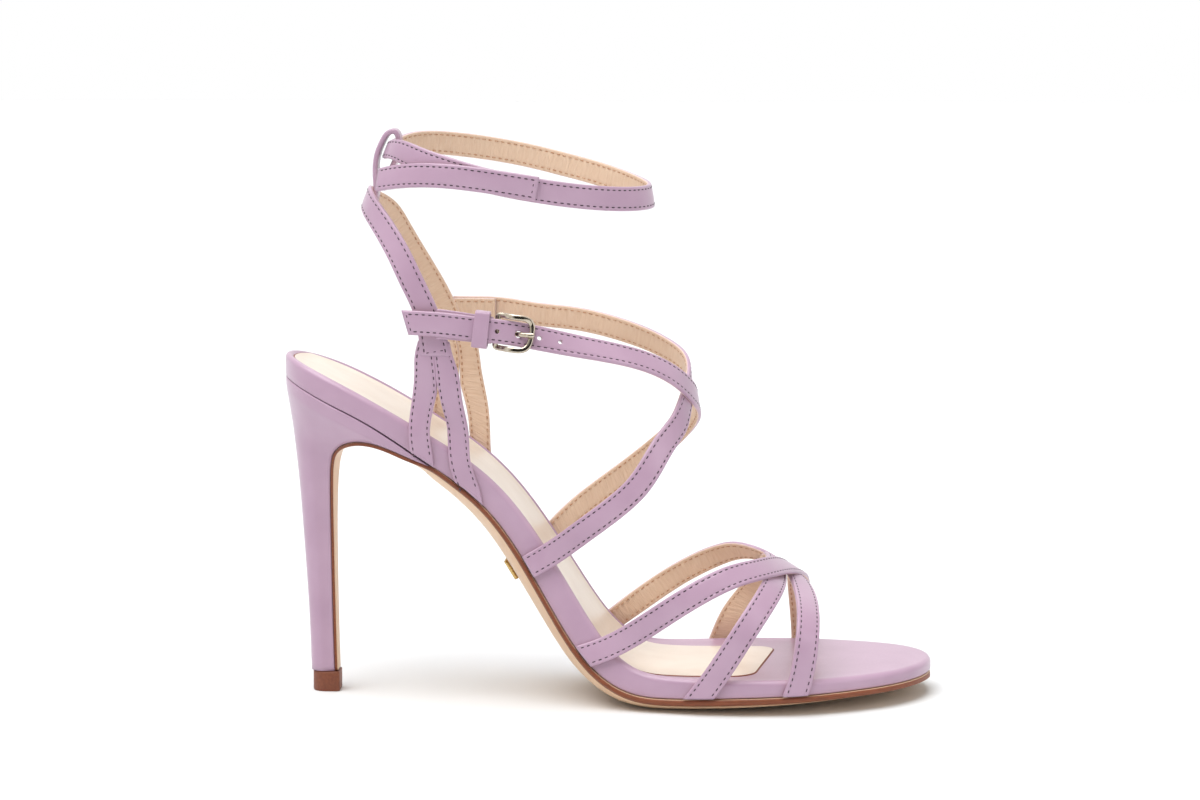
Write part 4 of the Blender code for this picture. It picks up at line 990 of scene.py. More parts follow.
def make_footbed(scene):
    """Nested outlines over the crest line: a turned-in foot, the wall, the rim's ellipse, then the dish."""
    rings = []
    for inset, rise in fold_steps():
        along, across = sole_loop(LOOP_POINTS, -inset)
        rings.append(sole_point(along, across, rise - sole_shape(np.clip(along, 0, 1))[2]))
    along, across = sole_loop(LOOP_POINTS)
    thick = sole_shape(np.clip(along, 0, 1))[2] - FOLD
    for share in (0.6, 0.25, 0.0):
        rings.append(sole_point(along, across, -RIM_DOWN - (thick - RIM_DOWN) * share))
    for turn in np.linspace(0, math.pi / 2, 9)[1:]:
        along, across = sole_loop(LOOP_POINTS, -RIM_IN * (1 - math.cos(turn)))
        rings.append(sole_point(along, across, -RIM_DOWN * (1 - math.sin(turn))))
    for inset in DISH_RINGS:
        along, across = sole_loop(LOOP_POINTS, -inset)
        rings.append(sole_point(along, across, dish(along, across)))
    steps = [float(np.linalg.norm(b - a, axis=1).mean()) for a, b in zip(rings, rings[1:])]
    mesh = Mesh().add(*skin(rings, length=np.cumsum([0.0] + steps)))
    return mesh.build("footbed_cover", strap_materials(scene)[:1], "lilac_calf", ["footbed"])


def sock_outline(along, share):
    """One ring of the sock: the outline's half width times a share, its front end skewed across."""
    back, front = SOCK_INSET / SHOE_LENGTH, SOCK_LENGTH / SHOE_LENGTH
    centre, half = sole_shape(along)[:2]
    seat = sole_shape(SEAT_WIDEST)[1] * bow((along - back) * SHOE_LENGTH / HEEL_ROUND)
    half = np.minimum(half - SOCK_INSET, seat)
    half = half - SOCK_CORNER * (1 - bow((front - along) * SHOE_LENGTH / SOCK_CORNER))
    half[0] = 0.0
    ends = (1 - share) * SOCK_END_RUN / SHOE_LENGTH
    at = back + ends + (along - back) * (1 - 2 * ends / (front - back))
    a = np.concatenate([at, at[-1:0:-1]])
    y = np.concatenate([centre - share * half, (centre + share * half)[-1:0:-1]])
    return a + SOCK_SKEW * y / SHOE_LENGTH * ease((a - 0.45) / (front - 0.45)), y


def make_sock(scene):
    """Thin sheet on the dish: rings at shares of its outline, the top ones lifted by its thickness, the
    edge inked."""
    along = spaced(130, SOCK_INSET / SHOE_LENGTH, SOCK_LENGTH / SHOE_LENGTH)
    rings = []
    for share in SOCK_SHARES[::-1]:
        a, y = sock_outline(along, share)
        crown = (SOCK_LIFT + SOCK_THICK - SOCK_EDGE) * ease((1 - share) / 0.3)
        rings.append(sole_point(a, y, dish(a, y) + (SOCK_EDGE * ease((1 - share) / 0.012) + crown)))
    for share in SOCK_UNDER_SHARES:
        a, y = sock_outline(along, share)
        rings.append(sole_point(a, y, dish(a, y) - 0.0002))
    points, faces, kinds, uvs = skin(rings)
    inked = np.arange(len(rings) - 1) >= len(SOCK_SHARES) - 2
    kinds[0] = inked.repeat(len(rings[0])).astype(int)
    sock = made_once("cream pearl sock leather", sock_leather, scene.sandal_sole)
    mesh = Mesh().add(points, faces, kinds, uvs)
    return mesh.build("sock_sheet", [sock, edge_material(scene)], "cream_sock", ["sock_lining"])


def make_outsole(scene):
    """Sections across the mating line: a flat top, an upright edge, and a crown of 1 less the share to a
    power that rises from 2.2 at the waist to 6 under the ball. The waist's edge is thinner at its
    sides."""
    coarse, sole_along = mating_line(44)
    key = run_length(coarse[:, :2])
    at = np.unique(np.concatenate([np.linspace(0, key[-1], 300), key[-1] - 0.03 * (1 - spaced(60))]))
    line = smooth(np.column_stack([key, coarse]), at)
    sole = at > key[len(HEEL_LINES) + 2]
    along = np.interp(at, key[len(HEEL_LINES):], sole_along)
    line[sole, 3] = outsole_half(along)[sole]
    up = left_of(unit(np.gradient(line[:, :2], axis=0)))
    shares = np.array([0.997, 0.985, 0.96, 0.93, 0.88, 0.8, 0.7, 0.58, 0.42, 0.22])
    bottom = np.concatenate([shares, [0.0], -shares[::-1]])
    across = np.concatenate([[-1, -0.99, 0.99, 1, 1, 1], bottom, [-1, -1]])
    level = np.concatenate([[0.1, 0, 0, 0.1, 0.5, 0.92], np.ones(len(bottom)), [0.92, 0.5]])
    below = np.concatenate([np.zeros(6), np.ones(len(bottom)), [0, 0]])
    thin = 0.64 + 0.36 * ease((along - 0.50) / 0.14)[:, None]
    power = 2.2 + 3.8 * ease((along - 0.45) / 0.15)[:, None]
    drop = level * (thin + (1 - thin) * (1 - np.abs(across) ** 8)) * line[:, 5:6]
    drop = drop + below * (1 - np.abs(across) ** power) * line[:, 4:5]
    x = line[:, :1] - up[:, :1] * drop
    z = np.maximum(line[:, 1:2] - up[:, 1:] * drop, 0.0)
    rings = np.stack([x, line[:, 2:3] + across * line[:, 3:4], z], -1)
    edge = np.abs(across) > 0.93
    kinds = (edge & np.roll(edge, -1)).astype(int)
    kinds[1] = 0
    leather = made_once("buffed sole leather", sole_leather, scene.sandal_sole)
    mesh = Mesh().add(*skin(rings, kinds, cap_slot=1))
    return mesh.build("outsole_leather", [leather, edge_material(scene)], "sole_leather", ["outsole"])


def heel_side(count, stem, span):
    """Share of a ring's half width from back to front: the seat's outline blended into the stem's rounder
    one."""
    u = 1 - np.cos(np.linspace(0, math.pi / 2, count))
    seat = sole_shape(u * span)[1] / sole_shape(SEAT_WIDEST)[1]
    round_ = bow(u / 0.55) * (1 - 0.10 * ease((u - 0.45) / 0.55))
    return u, seat * (1 - stem) + round_ * stem


def make_heel(scene):
    """Rings that tip from the seat's slope to level down the stem, each a blend of seat and stem outlines."""
    count = 26
    u = heel_side(count, 0.0, HEEL_TOP_SPAN)[0] * HEEL_TOP_SPAN
    centre, half, thick = sole_shape(u)[:3]
    outer, inner = (sole_point(u, centre + side * half, -thick - FIT) for side in (-1, 1))
    seat = np.concatenate([outer, inner[:0:-1]])
    number = np.arange(len(HEEL_LINES))
    lines = smooth(np.column_stack([number, HEEL_LINES]), np.linspace(0, number[-1], 90))
    front = lines[:, 0:2] * (SHOE_LENGTH, HEEL_HEIGHT)
    back = lines[:, 2:4] * (-SHOE_LENGTH, HEEL_HEIGHT)
    front = front - FIT * left_of(unit(np.gradient(front, axis=0)))
    front[-1, 1] = back[-1, 1] = TOP_PIECE_HEIGHT + FIT
    outwards = unit(seat - seat.mean(0)) * (1.0, 1.0, 0.0)
    rings = [seat - inset * outwards - np.array([0.0, 0.0, rise]) for inset, rise in fold_steps()]
    for (fx, fz), (bx, bz), wide, stem in zip(front, back, lines[:, 4], np.clip(lines[:, 5], 0, 1)):
        u, share = heel_side(count, stem, (fx - bx) / SHOE_LENGTH)
        x, z = bx + u * (fx - bx), bz + u * (fz - bz)
        outer, inner = (np.stack([x, side * share * wide * BALL_WIDTH, z], -1) for side in (-1, 1))
        rings.append(np.concatenate([outer, inner[:0:-1]]))
    return Mesh().add(*skin(rings)).build("heel_cover", strap_materials(scene)[:1], "lilac_calf", ["heel"])


def make_top_piece(scene):
    """Outline of a half circle and a straight front, stacked upwards with small rounds at foot and top."""
    turn = np.linspace(0, math.pi, 25)
    radius = TOP_PIECE_WIDTH / 2
    back = np.stack([radius - TOP_PIECE_BACK - radius * np.sin(turn), radius * np.cos(turn)], -1)
    ahead, corner = TOP_PIECE_LENGTH - TOP_PIECE_BACK, TOP_PIECE_CORNER
    bend = np.linspace(0, math.pi / 2, 6)
    low = np.stack([ahead - corner + corner * np.sin(bend), -radius + corner - corner * np.cos(bend)], -1)
    high = (low * (1, -1))[::-1]
    outline = np.concatenate([back[12:], low, high, back[:12]])
    rings = [np.column_stack([outline * grow, np.full(len(outline), z)]) for z, grow in TOP_PIECE_LEVELS]
    materials = [made_once("moulded brown top piece", top_piece_rubber, scene.sandal_sole)]
    return Mesh().add(*skin(rings)).build("top_piece_block", materials, "brown_top_piece", ["top_piece"])


def make_toe_straps(scene):
    """Three lined straps carried over the last from rim to rim, with a row of stitches along each edge."""
    leather, stitches = Mesh(), Mesh()
    for rows, name in ((TOE_REAR, "toe rear"), (TOE_MIDDLE, "toe middle"), (TOE_FRONT, "toe front")):
        strap = Strap(rows, name + " outer", name + " inner")
        add_strap(leather, strap)
        both_edges(stitches, strap, scene.sandal_thread)
    piece = leather.build("toe_strap_leather", strap_materials(scene), "lilac_calf", ["toe_straps"])
    stitches.build("toe_strap_stitches", thread_materials(scene), "lilac_calf")
    return piece


def over_strap():
    """The upper instep strap, which the buckle holds."""
    return Strap(INSTEP_OVER, None, "instep over inner", slant=TIP_SLANT, lean=INSTEP_LEAN)


def pierce(piece, strap):
    """Takes a round pin out of the strap at each buckle hole."""
    turn = np.linspace(0, 2 * math.pi, 32, endpoint=False)
    for number in (-1, 0, 1, 2):
        radius = HOLE_RADIUS if number else PRONG_HOLE_RADIUS
        along = PRONG_HOLE_AT + number * HOLE_PITCH + radius * np.cos(turn)
        rings = [strap.place(along, radius * np.sin(turn), np.full(32, level)) for level in (0.002, -0.004)]
        pin = bpy.data.objects.new("hole", Mesh().add(*skin(rings)).shape("hole"))
        bpy.context.scene.collection.objects.link(pin)
        change = piece.modifiers.new("hole", "BOOLEAN")
        change.operation, change.solver, change.object = "DIFFERENCE", "EXACT", pin
        bpy.context.view_layer.update()
        graph = bpy.context.evaluated_depsgraph_get()
        baked = bpy.data.meshes.new_from_object(piece.evaluated_get(graph), depsgraph=graph)
        piece.modifiers.clear()
        piece.data = baked
        bpy.data.objects.remove(pin, do_unlink=True)


def make_instep_straps(scene):
    """Two lined straps that cross on the instep; the upper has buckle holes and stitches round its
    slanted tip."""
    threads = scene.sandal_thread
    over, under = over_strap(), Strap(INSTEP_UNDER, "instep under outer")
    leather, node = strap_materials(scene), ["instep_straps"]
    piece = add_strap(Mesh(), over).build("instep_over_leather", leather, "lilac_calf", node)
    pierce(piece, over)
    add_strap(Mesh(), under).build("instep_under_leather", leather, "lilac_calf", node)
    left, right = (edge_path(over, threads, side, 0.0012) for side in (-1, 1))
    stitches = seam(Mesh(), over, np.concatenate([left[::-1], right]), threads)
    both_edges(stitches, under, threads, 0.0008, 0.0012)
    stitches.build("instep_strap_stitches", thread_materials(scene), "lilac_calf")
    return piece


def half_way_to(other):
    """Half the distance from points to a strap's centre line, and a little more so that edges touch."""
    line = other.frame(np.linspace(other.start, other.end, 300))[0]
    return lambda centre: np.maximum(
        0.0004, np.linalg.norm(centre[:, None] - line[None], axis=-1).min(1) / 2 + 0.0001
    )


def make_quarters(scene):
    """A band round the back of the ankle on two split legs each side; legs that meet share the edge
    midway between."""
    threads = scene.sandal_thread
    leather, stitches = Mesh(), Mesh()
    band = Strap(QUARTER_BAND, slant=-0.0016)
    add_strap(leather, band)
    both_edges(stitches, band, threads)
    share = 0.5 - threads.inset / STRAP_WIDTH
    for at in (0.0007, band.end - band.start - 0.0010):
        wide = band.frame(band.start + at)[3] * share
        seam(stitches, band, [(at, -wide), (at, wide)], threads)
    for side, front, rear in (
        ("outer", OUTER_FRONT_LEG, OUTER_REAR_LEG),
        ("inner", INNER_FRONT_LEG, INNER_REAR_LEG),
    ):
        legs = [
            Strap(front, "front leg " + side, width=LEG_WIDTH),
            Strap(rear, "rear leg " + side, width=LEG_WIDTH),
        ]
        for leg, other in (legs, legs[::-1]):
            middle, right = leg.frame((leg.start + leg.end) / 2)[:2]
            ahead = (other.frame((other.start + other.end) / 2)[0] - middle) @ right
            leg.gaps = (None, half_way_to(other)) if ahead > 0 else (half_way_to(other), None)
        for leg in legs:
            add_strap(leather, leg)
            start, end = leg.span(0.0)
            at = np.linspace(float(start) + 0.0008, float(end) - 0.0014, 60)
            centre, _, _, width, _ = leg.frame(at)
            low, high = leg.edges(centre, width)
            inset = threads.inset * LEG_INSET
            for across in (inset + low * width, high * width - inset):
                seam(stitches, leg, np.stack([at - leg.start, across], -1), threads)
    tab = Strap(INNER_TAB)
    add_strap(leather, tab)
    both_edges(stitches, tab, threads)
    piece = leather.build("quarter_leather", strap_materials(scene), "lilac_calf", ["quarters"])
    stitches.build("quarter_stitches", thread_materials(scene), "lilac_calf")
    return piece


def make_ankle_strap(scene):
    """A closed ring and the stay that lies over its outer side, stitched round its square end."""
    threads, leather = scene.sandal_thread, strap_materials(scene)
    ring, stay = Strap(ANKLE_RING, closed=True), Strap(ANKLE_STAY)
    piece = add_strap(Mesh(), ring).build("ankle_ring_leather", leather, "lilac_calf", ["ankle_strap"])
    add_strap(Mesh(), stay).build("ankle_stay_leather", leather, "lilac_calf", ["ankle_stay"])
    stitches = both_edges(Mesh(), ring, threads, 0.0, 0.0)
    low, high = (edge_path(stay, threads, side, 0.001, 0.0016) for side in (-1, 1))
    seam(stitches, stay, np.concatenate([low, high[::-1]]), threads)
    stitches.build("ankle_stitches", thread_materials(scene), "lilac_calf")
    return piece


def make_back_loop(scene):
    """A rounded band in the middle plane: a rectangle with round corners, carried along the side line."""
    rows = np.asarray(LOOP_LINE) * (SHOE_LENGTH, HEEL_HEIGHT)
    key = run_length(rows)
    flat = smooth(np.column_stack([key, rows]), np.linspace(0, key[-1], 90))
    line = np.stack([flat[:, 0], 0 * flat[:, 0], flat[:, 1]], -1)
    points = tube_points(line, rounded(LOOP_THICK, LOOP_WIDTH, 0.0007, 6), np.array([0.0, 1.0, 0.0]))
    calf = strap_materials(scene)[:1]
    return Mesh().add(*skin(points)).build("back_loop_leather", calf, "lilac_calf", ["back_loop"])


def metal(scene, name, tone, roughness):
    """A plated metal in one of the sandal's metal colours."""
    colour, deep = (getattr(scene.sandal_metal, key) for key in (tone, tone + "_deep"))
    return made_once(name, plated_metal, name, colour, deep, roughness)


def make_frame_and_prong(over, nickel):
    """The frame is a bent D: a power of a circle's turn, two straight sides and a back bar under the
    strap, and its level eases from under the strap to over it. The flat prong rises through its hole and
    lies on the frame."""
    arm = FRAME_WIDTH / 2
    above, below = FIT + WIRE_HALF, -STRAP_THICK - FIT - WIRE_HALF
    turn = np.linspace(-math.pi / 2, math.pi / 2, 41)
    straight = FRAME_LENGTH * FRAME_STRAIGHT
    bend = FRAME_LENGTH - straight
    sides = np.array([*(straight * share for share in FRAME_SIDES), 0.0007, 0.0002, 0.0])
    edge = np.array([arm] * 5 + [arm - 0.0002, arm - 0.0007])
    along = np.concatenate([straight + bend * np.cos(turn) ** FRAME_SQUARE, sides, [0.0] * 3, sides[::-1]])
    curve = arm * np.sign(np.sin(turn)) * np.abs(np.sin(turn)) ** FRAME_SQUARE
    across = np.concatenate([curve, edge, [arm / 2, 0, -arm / 2], -edge[::-1]])
    level = below + (above - below) * ease(along / (FRAME_LENGTH * 0.56))
    loop = over.place(BAR_AT + along, across, level)
    closed = np.concatenate([loop[-3:], loop, loop[:3]])
    points = tube_points(closed, rounded(*WIRE_SECTION))[3:-3]
    mesh = Mesh().add(*skin(points, loop=True))
    mesh.build("buckle_frame_metal", [nickel], "pale_nickel", ["buckle_frame"])

    number = np.arange(len(PRONG_ROWS))
    along, level, thin = smooth(np.column_stack([number, PRONG_ROWS]), np.linspace(0, number[-1], 50)).T
    line = over.place(PRONG_HOLE_AT - PRONG_RISES_AT + along, 0 * along, level)
    turn = np.linspace(0, 2 * math.pi, 16, endpoint=False)
    oval = np.stack([PRONG_SECTION[0] * np.cos(turn), PRONG_SECTION[1] * np.sin(turn)], -1)
    points = tube_points(line, (thin * PRONG_THICK)[:, None, None] * oval)
    Mesh().add(*skin(points)).build("buckle_prong_metal", [nickel], "pale_nickel", ["buckle_prong"])


def make_buckle(scene):
    """Bent D frame, flat prong, leather chape and keeper, all placed along the strap that they hold."""
    over = over_strap()
    make_frame_and_prong(over, metal(scene, "polished nickel plate", "nickel", 0.09))
    calf = strap_materials(scene)[:1]
    at = np.linspace(CHAPE_FROM, CHAPE_TO, 26)
    rings = []
    for a, w in zip(at, np.interp(at, (CHAPE_FROM, CHAPE_TO), (CHAPE_WIDTH, STRAP_WIDTH + CHAPE_EASE))):
        across, up = rounded(w, CHAPE_THICK, 0.0004, 4).T
        rings.append(over.place(np.full(len(across), a), across, up - STRAP_THICK - FIT - CHAPE_THICK / 2))
    Mesh().add(*skin(rings)).build("buckle_chape_leather", calf, "lilac_calf", ["buckle_chape"])

    low, high = -STRAP_THICK - FIT - CHAPE_THICK - FIT, FIT
    path = rounded(CHAPE_WIDTH + 2 * FIT + KEEPER_THICK, high - low + KEEPER_THICK, 0.0009, 6)
    out = -left_of(unit(np.roll(path, -1, 0) - np.roll(path, 1, 0)))
    along, up = rounded(KEEPER_WIDTH, KEEPER_THICK, 0.0003, 4).T
    x, y = (path[:, i, None] + out[:, i, None] * up for i in (0, 1))
    mesh = Mesh().add(*skin(over.place(KEEPER_AT + along + 0 * x, x, y + (low + high) / 2), loop=True))
    return mesh.build("strap_keeper_leather", calf, "lilac_calf", ["strap_keeper"])


def make_plate(scene):
    """Small plain plate laid over the outsole's crown: a bevelled rectangle bent to the crown's curve."""
    outline = rounded(PLATE_LENGTH, PLATE_WIDTH, 0.0006, 4)
    rings = []
    for rise, grow in ((0.0, 1.0), (0.55, 1.0), (0.85, 0.985), (1.0, 0.95), (1.0, 0.6), (1.0, 0.25)):
        along = PLATE_ALONG + outline[:, 0] * grow / SHOE_LENGTH
        across = outline[:, 1] * grow
        centre, half, thick, crown = sole_shape(along)
        under = thick + FIT + EDGE_THICK + FIT + crown * (1 - (np.abs(across) / half) ** 2.2)
        rings.append(sole_point(along, centre + across, -under - rise * PLATE_THICK))
    brass = metal(scene, "lacquered brass plate", "brass", 0.22)
    return Mesh().add(*skin(rings)).build("waist_plate_metal", [brass], "pale_brass", ["waist_plate"])


# Stage


# Square soft lights: name, place, the point that it faces, size
LIGHTS = (
    ("key", (-0.30, -0.70, 1.20), (0.08, 0.0, 0.08), 0.55),
    ("fill", (0.9, -0.6, 0.5), (0.1, 0.0, 0.08), 0.5),
    ("rim", (0.1, 0.8, 0.9), (0.1, 0.0, 0.1), 0.5),
)
OVERHEAD_TURN = (math.radians(12), math.radians(-14), 0.0)
OVERHEAD_ANGLE = math.radians(60)
CAMERA_TARGET = (0.09255, 0.0, 0.09913)
FLOOR_HALF = 6.0
FLOOR_LEVEL = -0.00005
DARK_SIDE = (0.0, -0.990, 0.139)
DARK_DEPTH = -0.96


def stand(scene, name, data, place, way):
    """Links a light or camera that looks along a direction from its place."""
    made = bpy.data.objects.new(name, data)
    made.location = place
    made.rotation_mode = "QUATERNION"
    made.rotation_quaternion = way.to_track_quat("-Z", "Y")
    scene.collection.objects.link(made)
    return made


def make_world(scene):
    """White surroundings. Diffuse rays see them at the ambient strength, all others at 1. Only for
    reflections, the studio is dark on the photographer's side, which gives polished metal its dark core
    between bright edges."""
    world = bpy.data.worlds.new("studio")
    scene.world = world
    world.use_nodes = True
    tree = world.node_tree
    sky = tree.nodes["Background"]
    sky.inputs["Color"].default_value = (1.0, 1.0, 1.0, 1.0)
    ray, ambient = add(tree, "LightPath").outputs, scene.sandal_stage.ambient
    white = add(tree, "MapRange", [("Value", ray["Is Diffuse Ray"])], to_min=1.0, to_max=ambient)
    links = [(0, add(tree, "TexCoord").outputs["Generated"]), (1, DARK_SIDE)]
    facing = add(tree, "VectorMath", links, operation="DOT_PRODUCT").outputs["Value"]
    dark = add(tree, "MapRange", [("Value", facing)], from_min=0.62, from_max=0.88, to_max=DARK_DEPTH)
    links = [(0, dark.outputs["Result"]), (1, ray["Is Glossy Ray"]), (2, white.outputs["Result"])]
    strength = add(tree, "Math", links, operation="MULTIPLY_ADD")
    tree.links.new(strength.outputs["Value"], sky.inputs["Strength"])


def make_stage(scene):
    """White floor and surroundings, a broad soft light overhead, square key, fill and rim lights, and the
    camera."""
    stage = scene.sandal_stage
    mesh = bpy.data.meshes.new("floor")
    sides = ((-1, -1), (1, -1), (1, 1), (-1, 1))
    mesh.from_pydata([(FLOOR_HALF * x, FLOOR_HALF * y, FLOOR_LEVEL) for x, y in sides], [], [(0, 1, 2, 3)])
    floor = bpy.data.objects.new("floor", mesh)
    scene.collection.objects.link(floor)
    paper, _, shader, _ = start_material("matte white backdrop paper", stage.floor, 0.85)
    shader.inputs["Specular IOR Level"].default_value = 0.15
    mesh.materials.append(paper)
    make_world(scene)

    for name, place, target, size in LIGHTS:
        light = bpy.data.lights.new(name, "AREA")
        light.shape, light.size, light.energy = "SQUARE", size, getattr(stage, name)
        stand(scene, name, light, place, Vector(target) - Vector(place))
    light = bpy.data.lights.new("overhead", "SUN")
    light.energy, light.angle = stage.overhead, OVERHEAD_ANGLE
    lamp = bpy.data.objects.new("overhead", light)
    lamp.rotation_euler = OVERHEAD_TURN
    scene.collection.objects.link(lamp)

    data = bpy.data.cameras.new("camera")
    data.lens, data.sensor_width, data.clip_start, data.clip_end = stage.lens, 36.0, 0.01, 50.0
    a, e = math.radians(stage.azimuth), math.radians(stage.elevation)
    back = Vector((math.sin(a) * math.cos(e), -math.cos(a) * math.cos(e), math.sin(e)))
    scene.camera = stand(scene, "camera", data, Vector(CAMERA_TARGET) + back * stage.distance, -back)
    scene.view_settings.view_transform = "Standard"
    return floor


# Settings


def colour(name, description, hex_colour):
    """A colour setting whose default is given in sRGB hex."""
    default = linear(hex_colour)
    return bpy.props.FloatVectorProperty(
        name=name, description=description, subtype="COLOR", size=3, min=0.0, max=1.0, default=default
    )


def number(name, description, default, unit="NONE", **limits):
    """A setting that is one number."""
    return bpy.props.FloatProperty(name=name, description=description, default=default, unit=unit, **limits)


def length(name, description, default):
    """A length setting in metres."""
    return number(name, description, default, "LENGTH", min=0.0, precision=5)


class SandalLeather(bpy.types.PropertyGroup):
    lilac: colour("Calf", "Lilac calf in the light parts of its clouds", "#BC9CB2")
    lilac_deep: colour("Calf, deeper", "Lilac calf in the deeper parts of its clouds", "#AE8DA4")
    lining: colour("Lining", "Tan lining calf", "#E9CFB7")
    # Deeper lining tone: on the lining it is partly painted crease shade; on the tan thread it is a plain
    # deeper tone.
    lining_deep_and_crease_shade: colour("Lining, deeper", "Tan lining calf in its deeper parts", "#D7B496")
    # Cut edge colour: the ink's pink, lightened as a painted highlight along the strap edges.
    edge: colour("Cut edge", "Inked edge between calf and lining", "#D9BDC4")
    thread: colour("Thread", "Thread on the calf side", "#402436")
    thread_deep: colour("Thread, deeper", "Thread in its twist", "#2E1A26")
    lining_thread: colour("Lining thread", "Thread on the lining side", "#A4693E")


class SandalThread(bpy.types.PropertyGroup):
    pitch: length("Stitch pitch", "From one stitch to the next", 0.00215)
    length: length("Stitch length", "Visible length of a stitch", 0.00128)
    radius: length("Thread radius", "Half the thread's thickness", 0.00026)
    inset: length("Stitch inset", "From the strap's edge to the stitches", 0.0012)


class SandalSole(bpy.types.PropertyGroup):
    sock: colour("Sock", "Pearl sock leather", "#ECE0D2")
    sock_deep: colour("Sock, deeper", "Pearl sock leather in its deeper parts", "#E2D3C3")
    sole: colour("Outsole", "Buffed sole leather", "#E3C4A4")
    sole_deep: colour("Outsole, deeper", "Buffed sole leather in its deeper parts", "#D7B08A")
    burnish: colour("Sole edge", "Burnished edge", "#8C4823")
    burnish_deep: colour("Sole edge, deeper", "Burnished edge near the seam", "#683115")
    rubber: colour("Top piece", "Moulded top piece", "#84482E")
    rubber_deep: colour("Top piece, deeper", "Moulded top piece in its stipple", "#6C3923")


class SandalMetal(bpy.types.PropertyGroup):
    nickel: colour("Nickel", "Buckle plating", "#CCC3B5")
    nickel_deep: colour("Nickel, deeper", "Buckle plating in its marks", "#AC9E88")
    brass: colour("Brass", "Plate under the waist", "#D8BC7E")
    brass_deep: colour("Brass, deeper", "Plate in its marks", "#B8935A")


class SandalStage(bpy.types.PropertyGroup):
    floor: colour("Floor", "Backdrop paper", "#EBEDEE")
    ambient: number("Ambient", "Strength of the white surroundings", 0.38, min=0.0)
    overhead: number("Overhead", "Strength of the soft light above", 3.1, min=0.0)
    key: number("Key", "Power of the main light", 0.9, "POWER", min=0.0)
    fill: number("Fill", "Power of the fill light", 1.0, "POWER", min=0.0)
    rim: number("Rim", "Power of the light behind", 1.5, "POWER", min=0.0)
    lens: number("Lens", "Focal length", 100.0, "CAMERA", min=1.0)
    distance: length("Distance", "From the camera to the middle of the sandal", 1.115)
    azimuth: number("Azimuth", "Camera's turn to the toe side, degrees", 2.5)
    elevation: number("Elevation", "Camera's height, degrees", 7.0)


# Operators


class SandalOperator:
    """Shared parts of the operators, each of which calls its make function."""

    bl_options = {"REGISTER", "UNDO"}

    def execute(self, context):
        if self.make(context.scene) is None:
            raise RuntimeError(self.bl_label + " made nothing")
        return {"FINISHED"}


class SANDAL_OT_footbed(SandalOperator, bpy.types.Operator):
    """Builds the calf-covered footbed"""

    bl_idname, bl_label = "sandal.footbed", "Footbed"
    make = staticmethod(make_footbed)


class SANDAL_OT_sock(SandalOperator, bpy.types.Operator):
    """Builds the sock lining in the footbed's hollow"""

    bl_idname, bl_label = "sandal.sock", "Sock lining"
    make = staticmethod(make_sock)


class SANDAL_OT_outsole(SandalOperator, bpy.types.Operator):
    """Builds the leather outsole with its burnished edge"""

    bl_idname, bl_label = "sandal.outsole", "Outsole"
    make = staticmethod(make_outsole)


class SANDAL_OT_heel(SandalOperator, bpy.types.Operator):
    """Builds the covered heel"""

    bl_idname, bl_label = "sandal.heel", "Heel"
    make = staticmethod(make_heel)


class SANDAL_OT_top_piece(SandalOperator, bpy.types.Operator):
    """Builds the heel's top piece"""

    bl_idname, bl_label = "sandal.top_piece", "Top piece"
    make = staticmethod(make_top_piece)


class SANDAL_OT_toe_straps(SandalOperator, bpy.types.Operator):
    """Builds the three toe straps and their stitches"""

    bl_idname, bl_label = "sandal.toe_straps", "Toe straps"
    make = staticmethod(make_toe_straps)


class SANDAL_OT_instep_straps(SandalOperator, bpy.types.Operator):
    """Builds the crossed instep straps, their holes and stitches"""

    bl_idname, bl_label = "sandal.instep_straps", "Instep straps"
    make = staticmethod(make_instep_straps)


class SANDAL_OT_quarters(SandalOperator, bpy.types.Operator):
    """Builds the band behind the ankle and its legs"""

    bl_idname, bl_label = "sandal.quarters", "Quarters"
    make = staticmethod(make_quarters)


class SANDAL_OT_ankle_strap(SandalOperator, bpy.types.Operator):
    """Builds the ankle ring and its stay"""

    bl_idname, bl_label = "sandal.ankle_strap", "Ankle strap"
    make = staticmethod(make_ankle_strap)


class SANDAL_OT_back_loop(SandalOperator, bpy.types.Operator):
    """Builds the loop that carries the ankle ring"""

    bl_idname, bl_label = "sandal.back_loop", "Back loop"
    make = staticmethod(make_back_loop)


class SANDAL_OT_buckle(SandalOperator, bpy.types.Operator):
    """Builds the buckle, its chape and the keeper"""

    bl_idname, bl_label = "sandal.buckle", "Buckle"
    make = staticmethod(make_buckle)


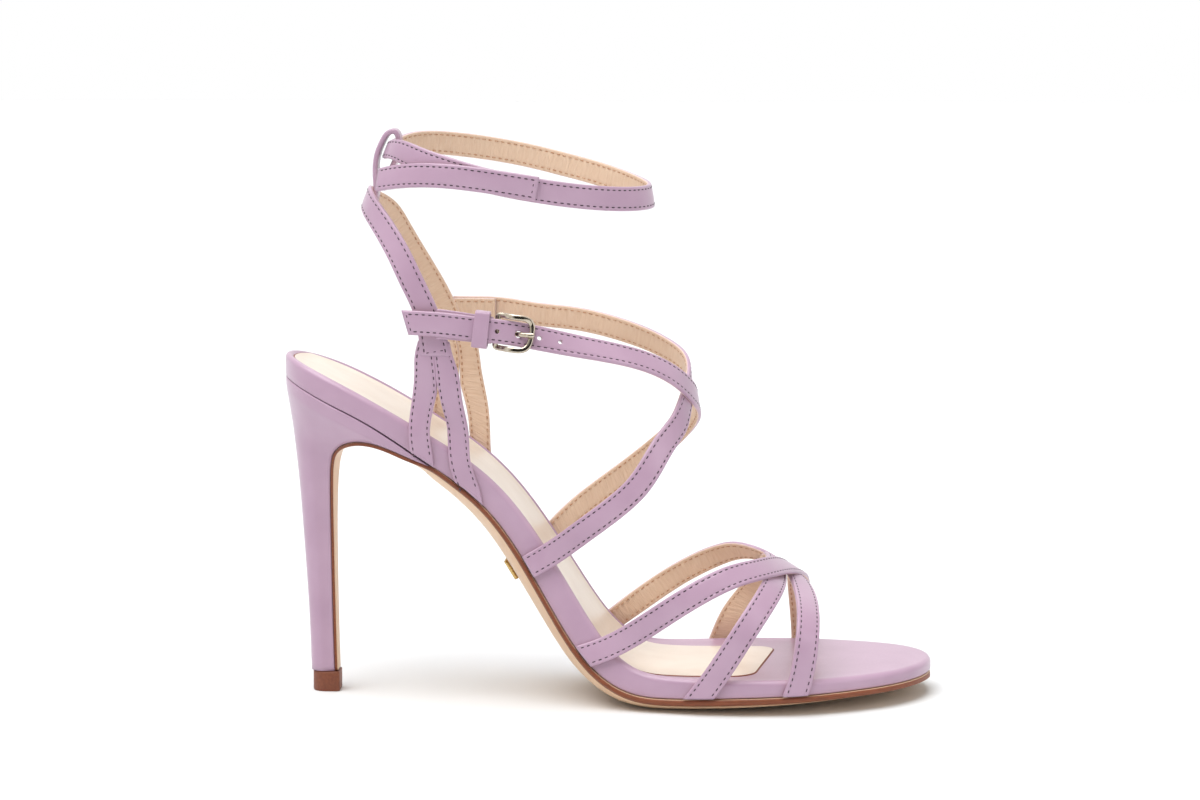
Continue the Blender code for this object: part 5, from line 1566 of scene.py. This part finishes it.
class SANDAL_OT_plate(SandalOperator, bpy.types.Operator):
    """Builds the plain plate under the waist"""

    bl_idname, bl_label = "sandal.plate", "Waist plate"
    make = staticmethod(make_plate)


class SANDAL_OT_stage(SandalOperator, bpy.types.Operator):
    """Builds the floor, the lights and the camera"""

    bl_idname, bl_label = "sandal.stage", "Stage"
    make = staticmethod(make_stage)


OPERATORS = (
    SANDAL_OT_footbed, SANDAL_OT_sock, SANDAL_OT_outsole, SANDAL_OT_heel, SANDAL_OT_top_piece,
    SANDAL_OT_toe_straps, SANDAL_OT_instep_straps, SANDAL_OT_quarters, SANDAL_OT_ankle_strap,
    SANDAL_OT_back_loop, SANDAL_OT_buckle, SANDAL_OT_plate, SANDAL_OT_stage,
)
SETTINGS = {
    "sandal_leather": SandalLeather,
    "sandal_thread": SandalThread,
    "sandal_sole": SandalSole,
    "sandal_metal": SandalMetal,
    "sandal_stage": SandalStage,
}


class SANDAL_PT_panel(bpy.types.Panel):
    """Lists the settings and the pieces"""

    bl_idname, bl_label = "SANDAL_PT_panel", "Sandal"
    bl_space_type, bl_region_type, bl_category = "VIEW_3D", "UI", "Sandal"

    def draw(self, context):
        for name in SETTINGS:
            box = self.layout.box()
            group = getattr(context.scene, name)
            for key in group.bl_rna.properties.keys():
                if key not in ("rna_type", "name"):
                    box.prop(group, key)
        for operator in OPERATORS:
            self.layout.operator(operator.bl_idname)


def register():
    for group in SETTINGS.values():
        bpy.utils.register_class(group)
    for name, group in SETTINGS.items():
        setattr(bpy.types.Scene, name, bpy.props.PointerProperty(type=group))
    for item in (*OPERATORS, SANDAL_PT_panel):
        bpy.utils.register_class(item)


def unregister():
    for item in (SANDAL_PT_panel, *OPERATORS[::-1]):
        bpy.utils.unregister_class(item)
    for name, group in SETTINGS.items():
        delattr(bpy.types.Scene, name)
        bpy.utils.unregister_class(group)


def main():
    register()
    for operator in OPERATORS:
        group, name = operator.bl_idname.split(".")
        getattr(getattr(bpy.ops, group), name)()


if __name__ == "__main__":
    main()
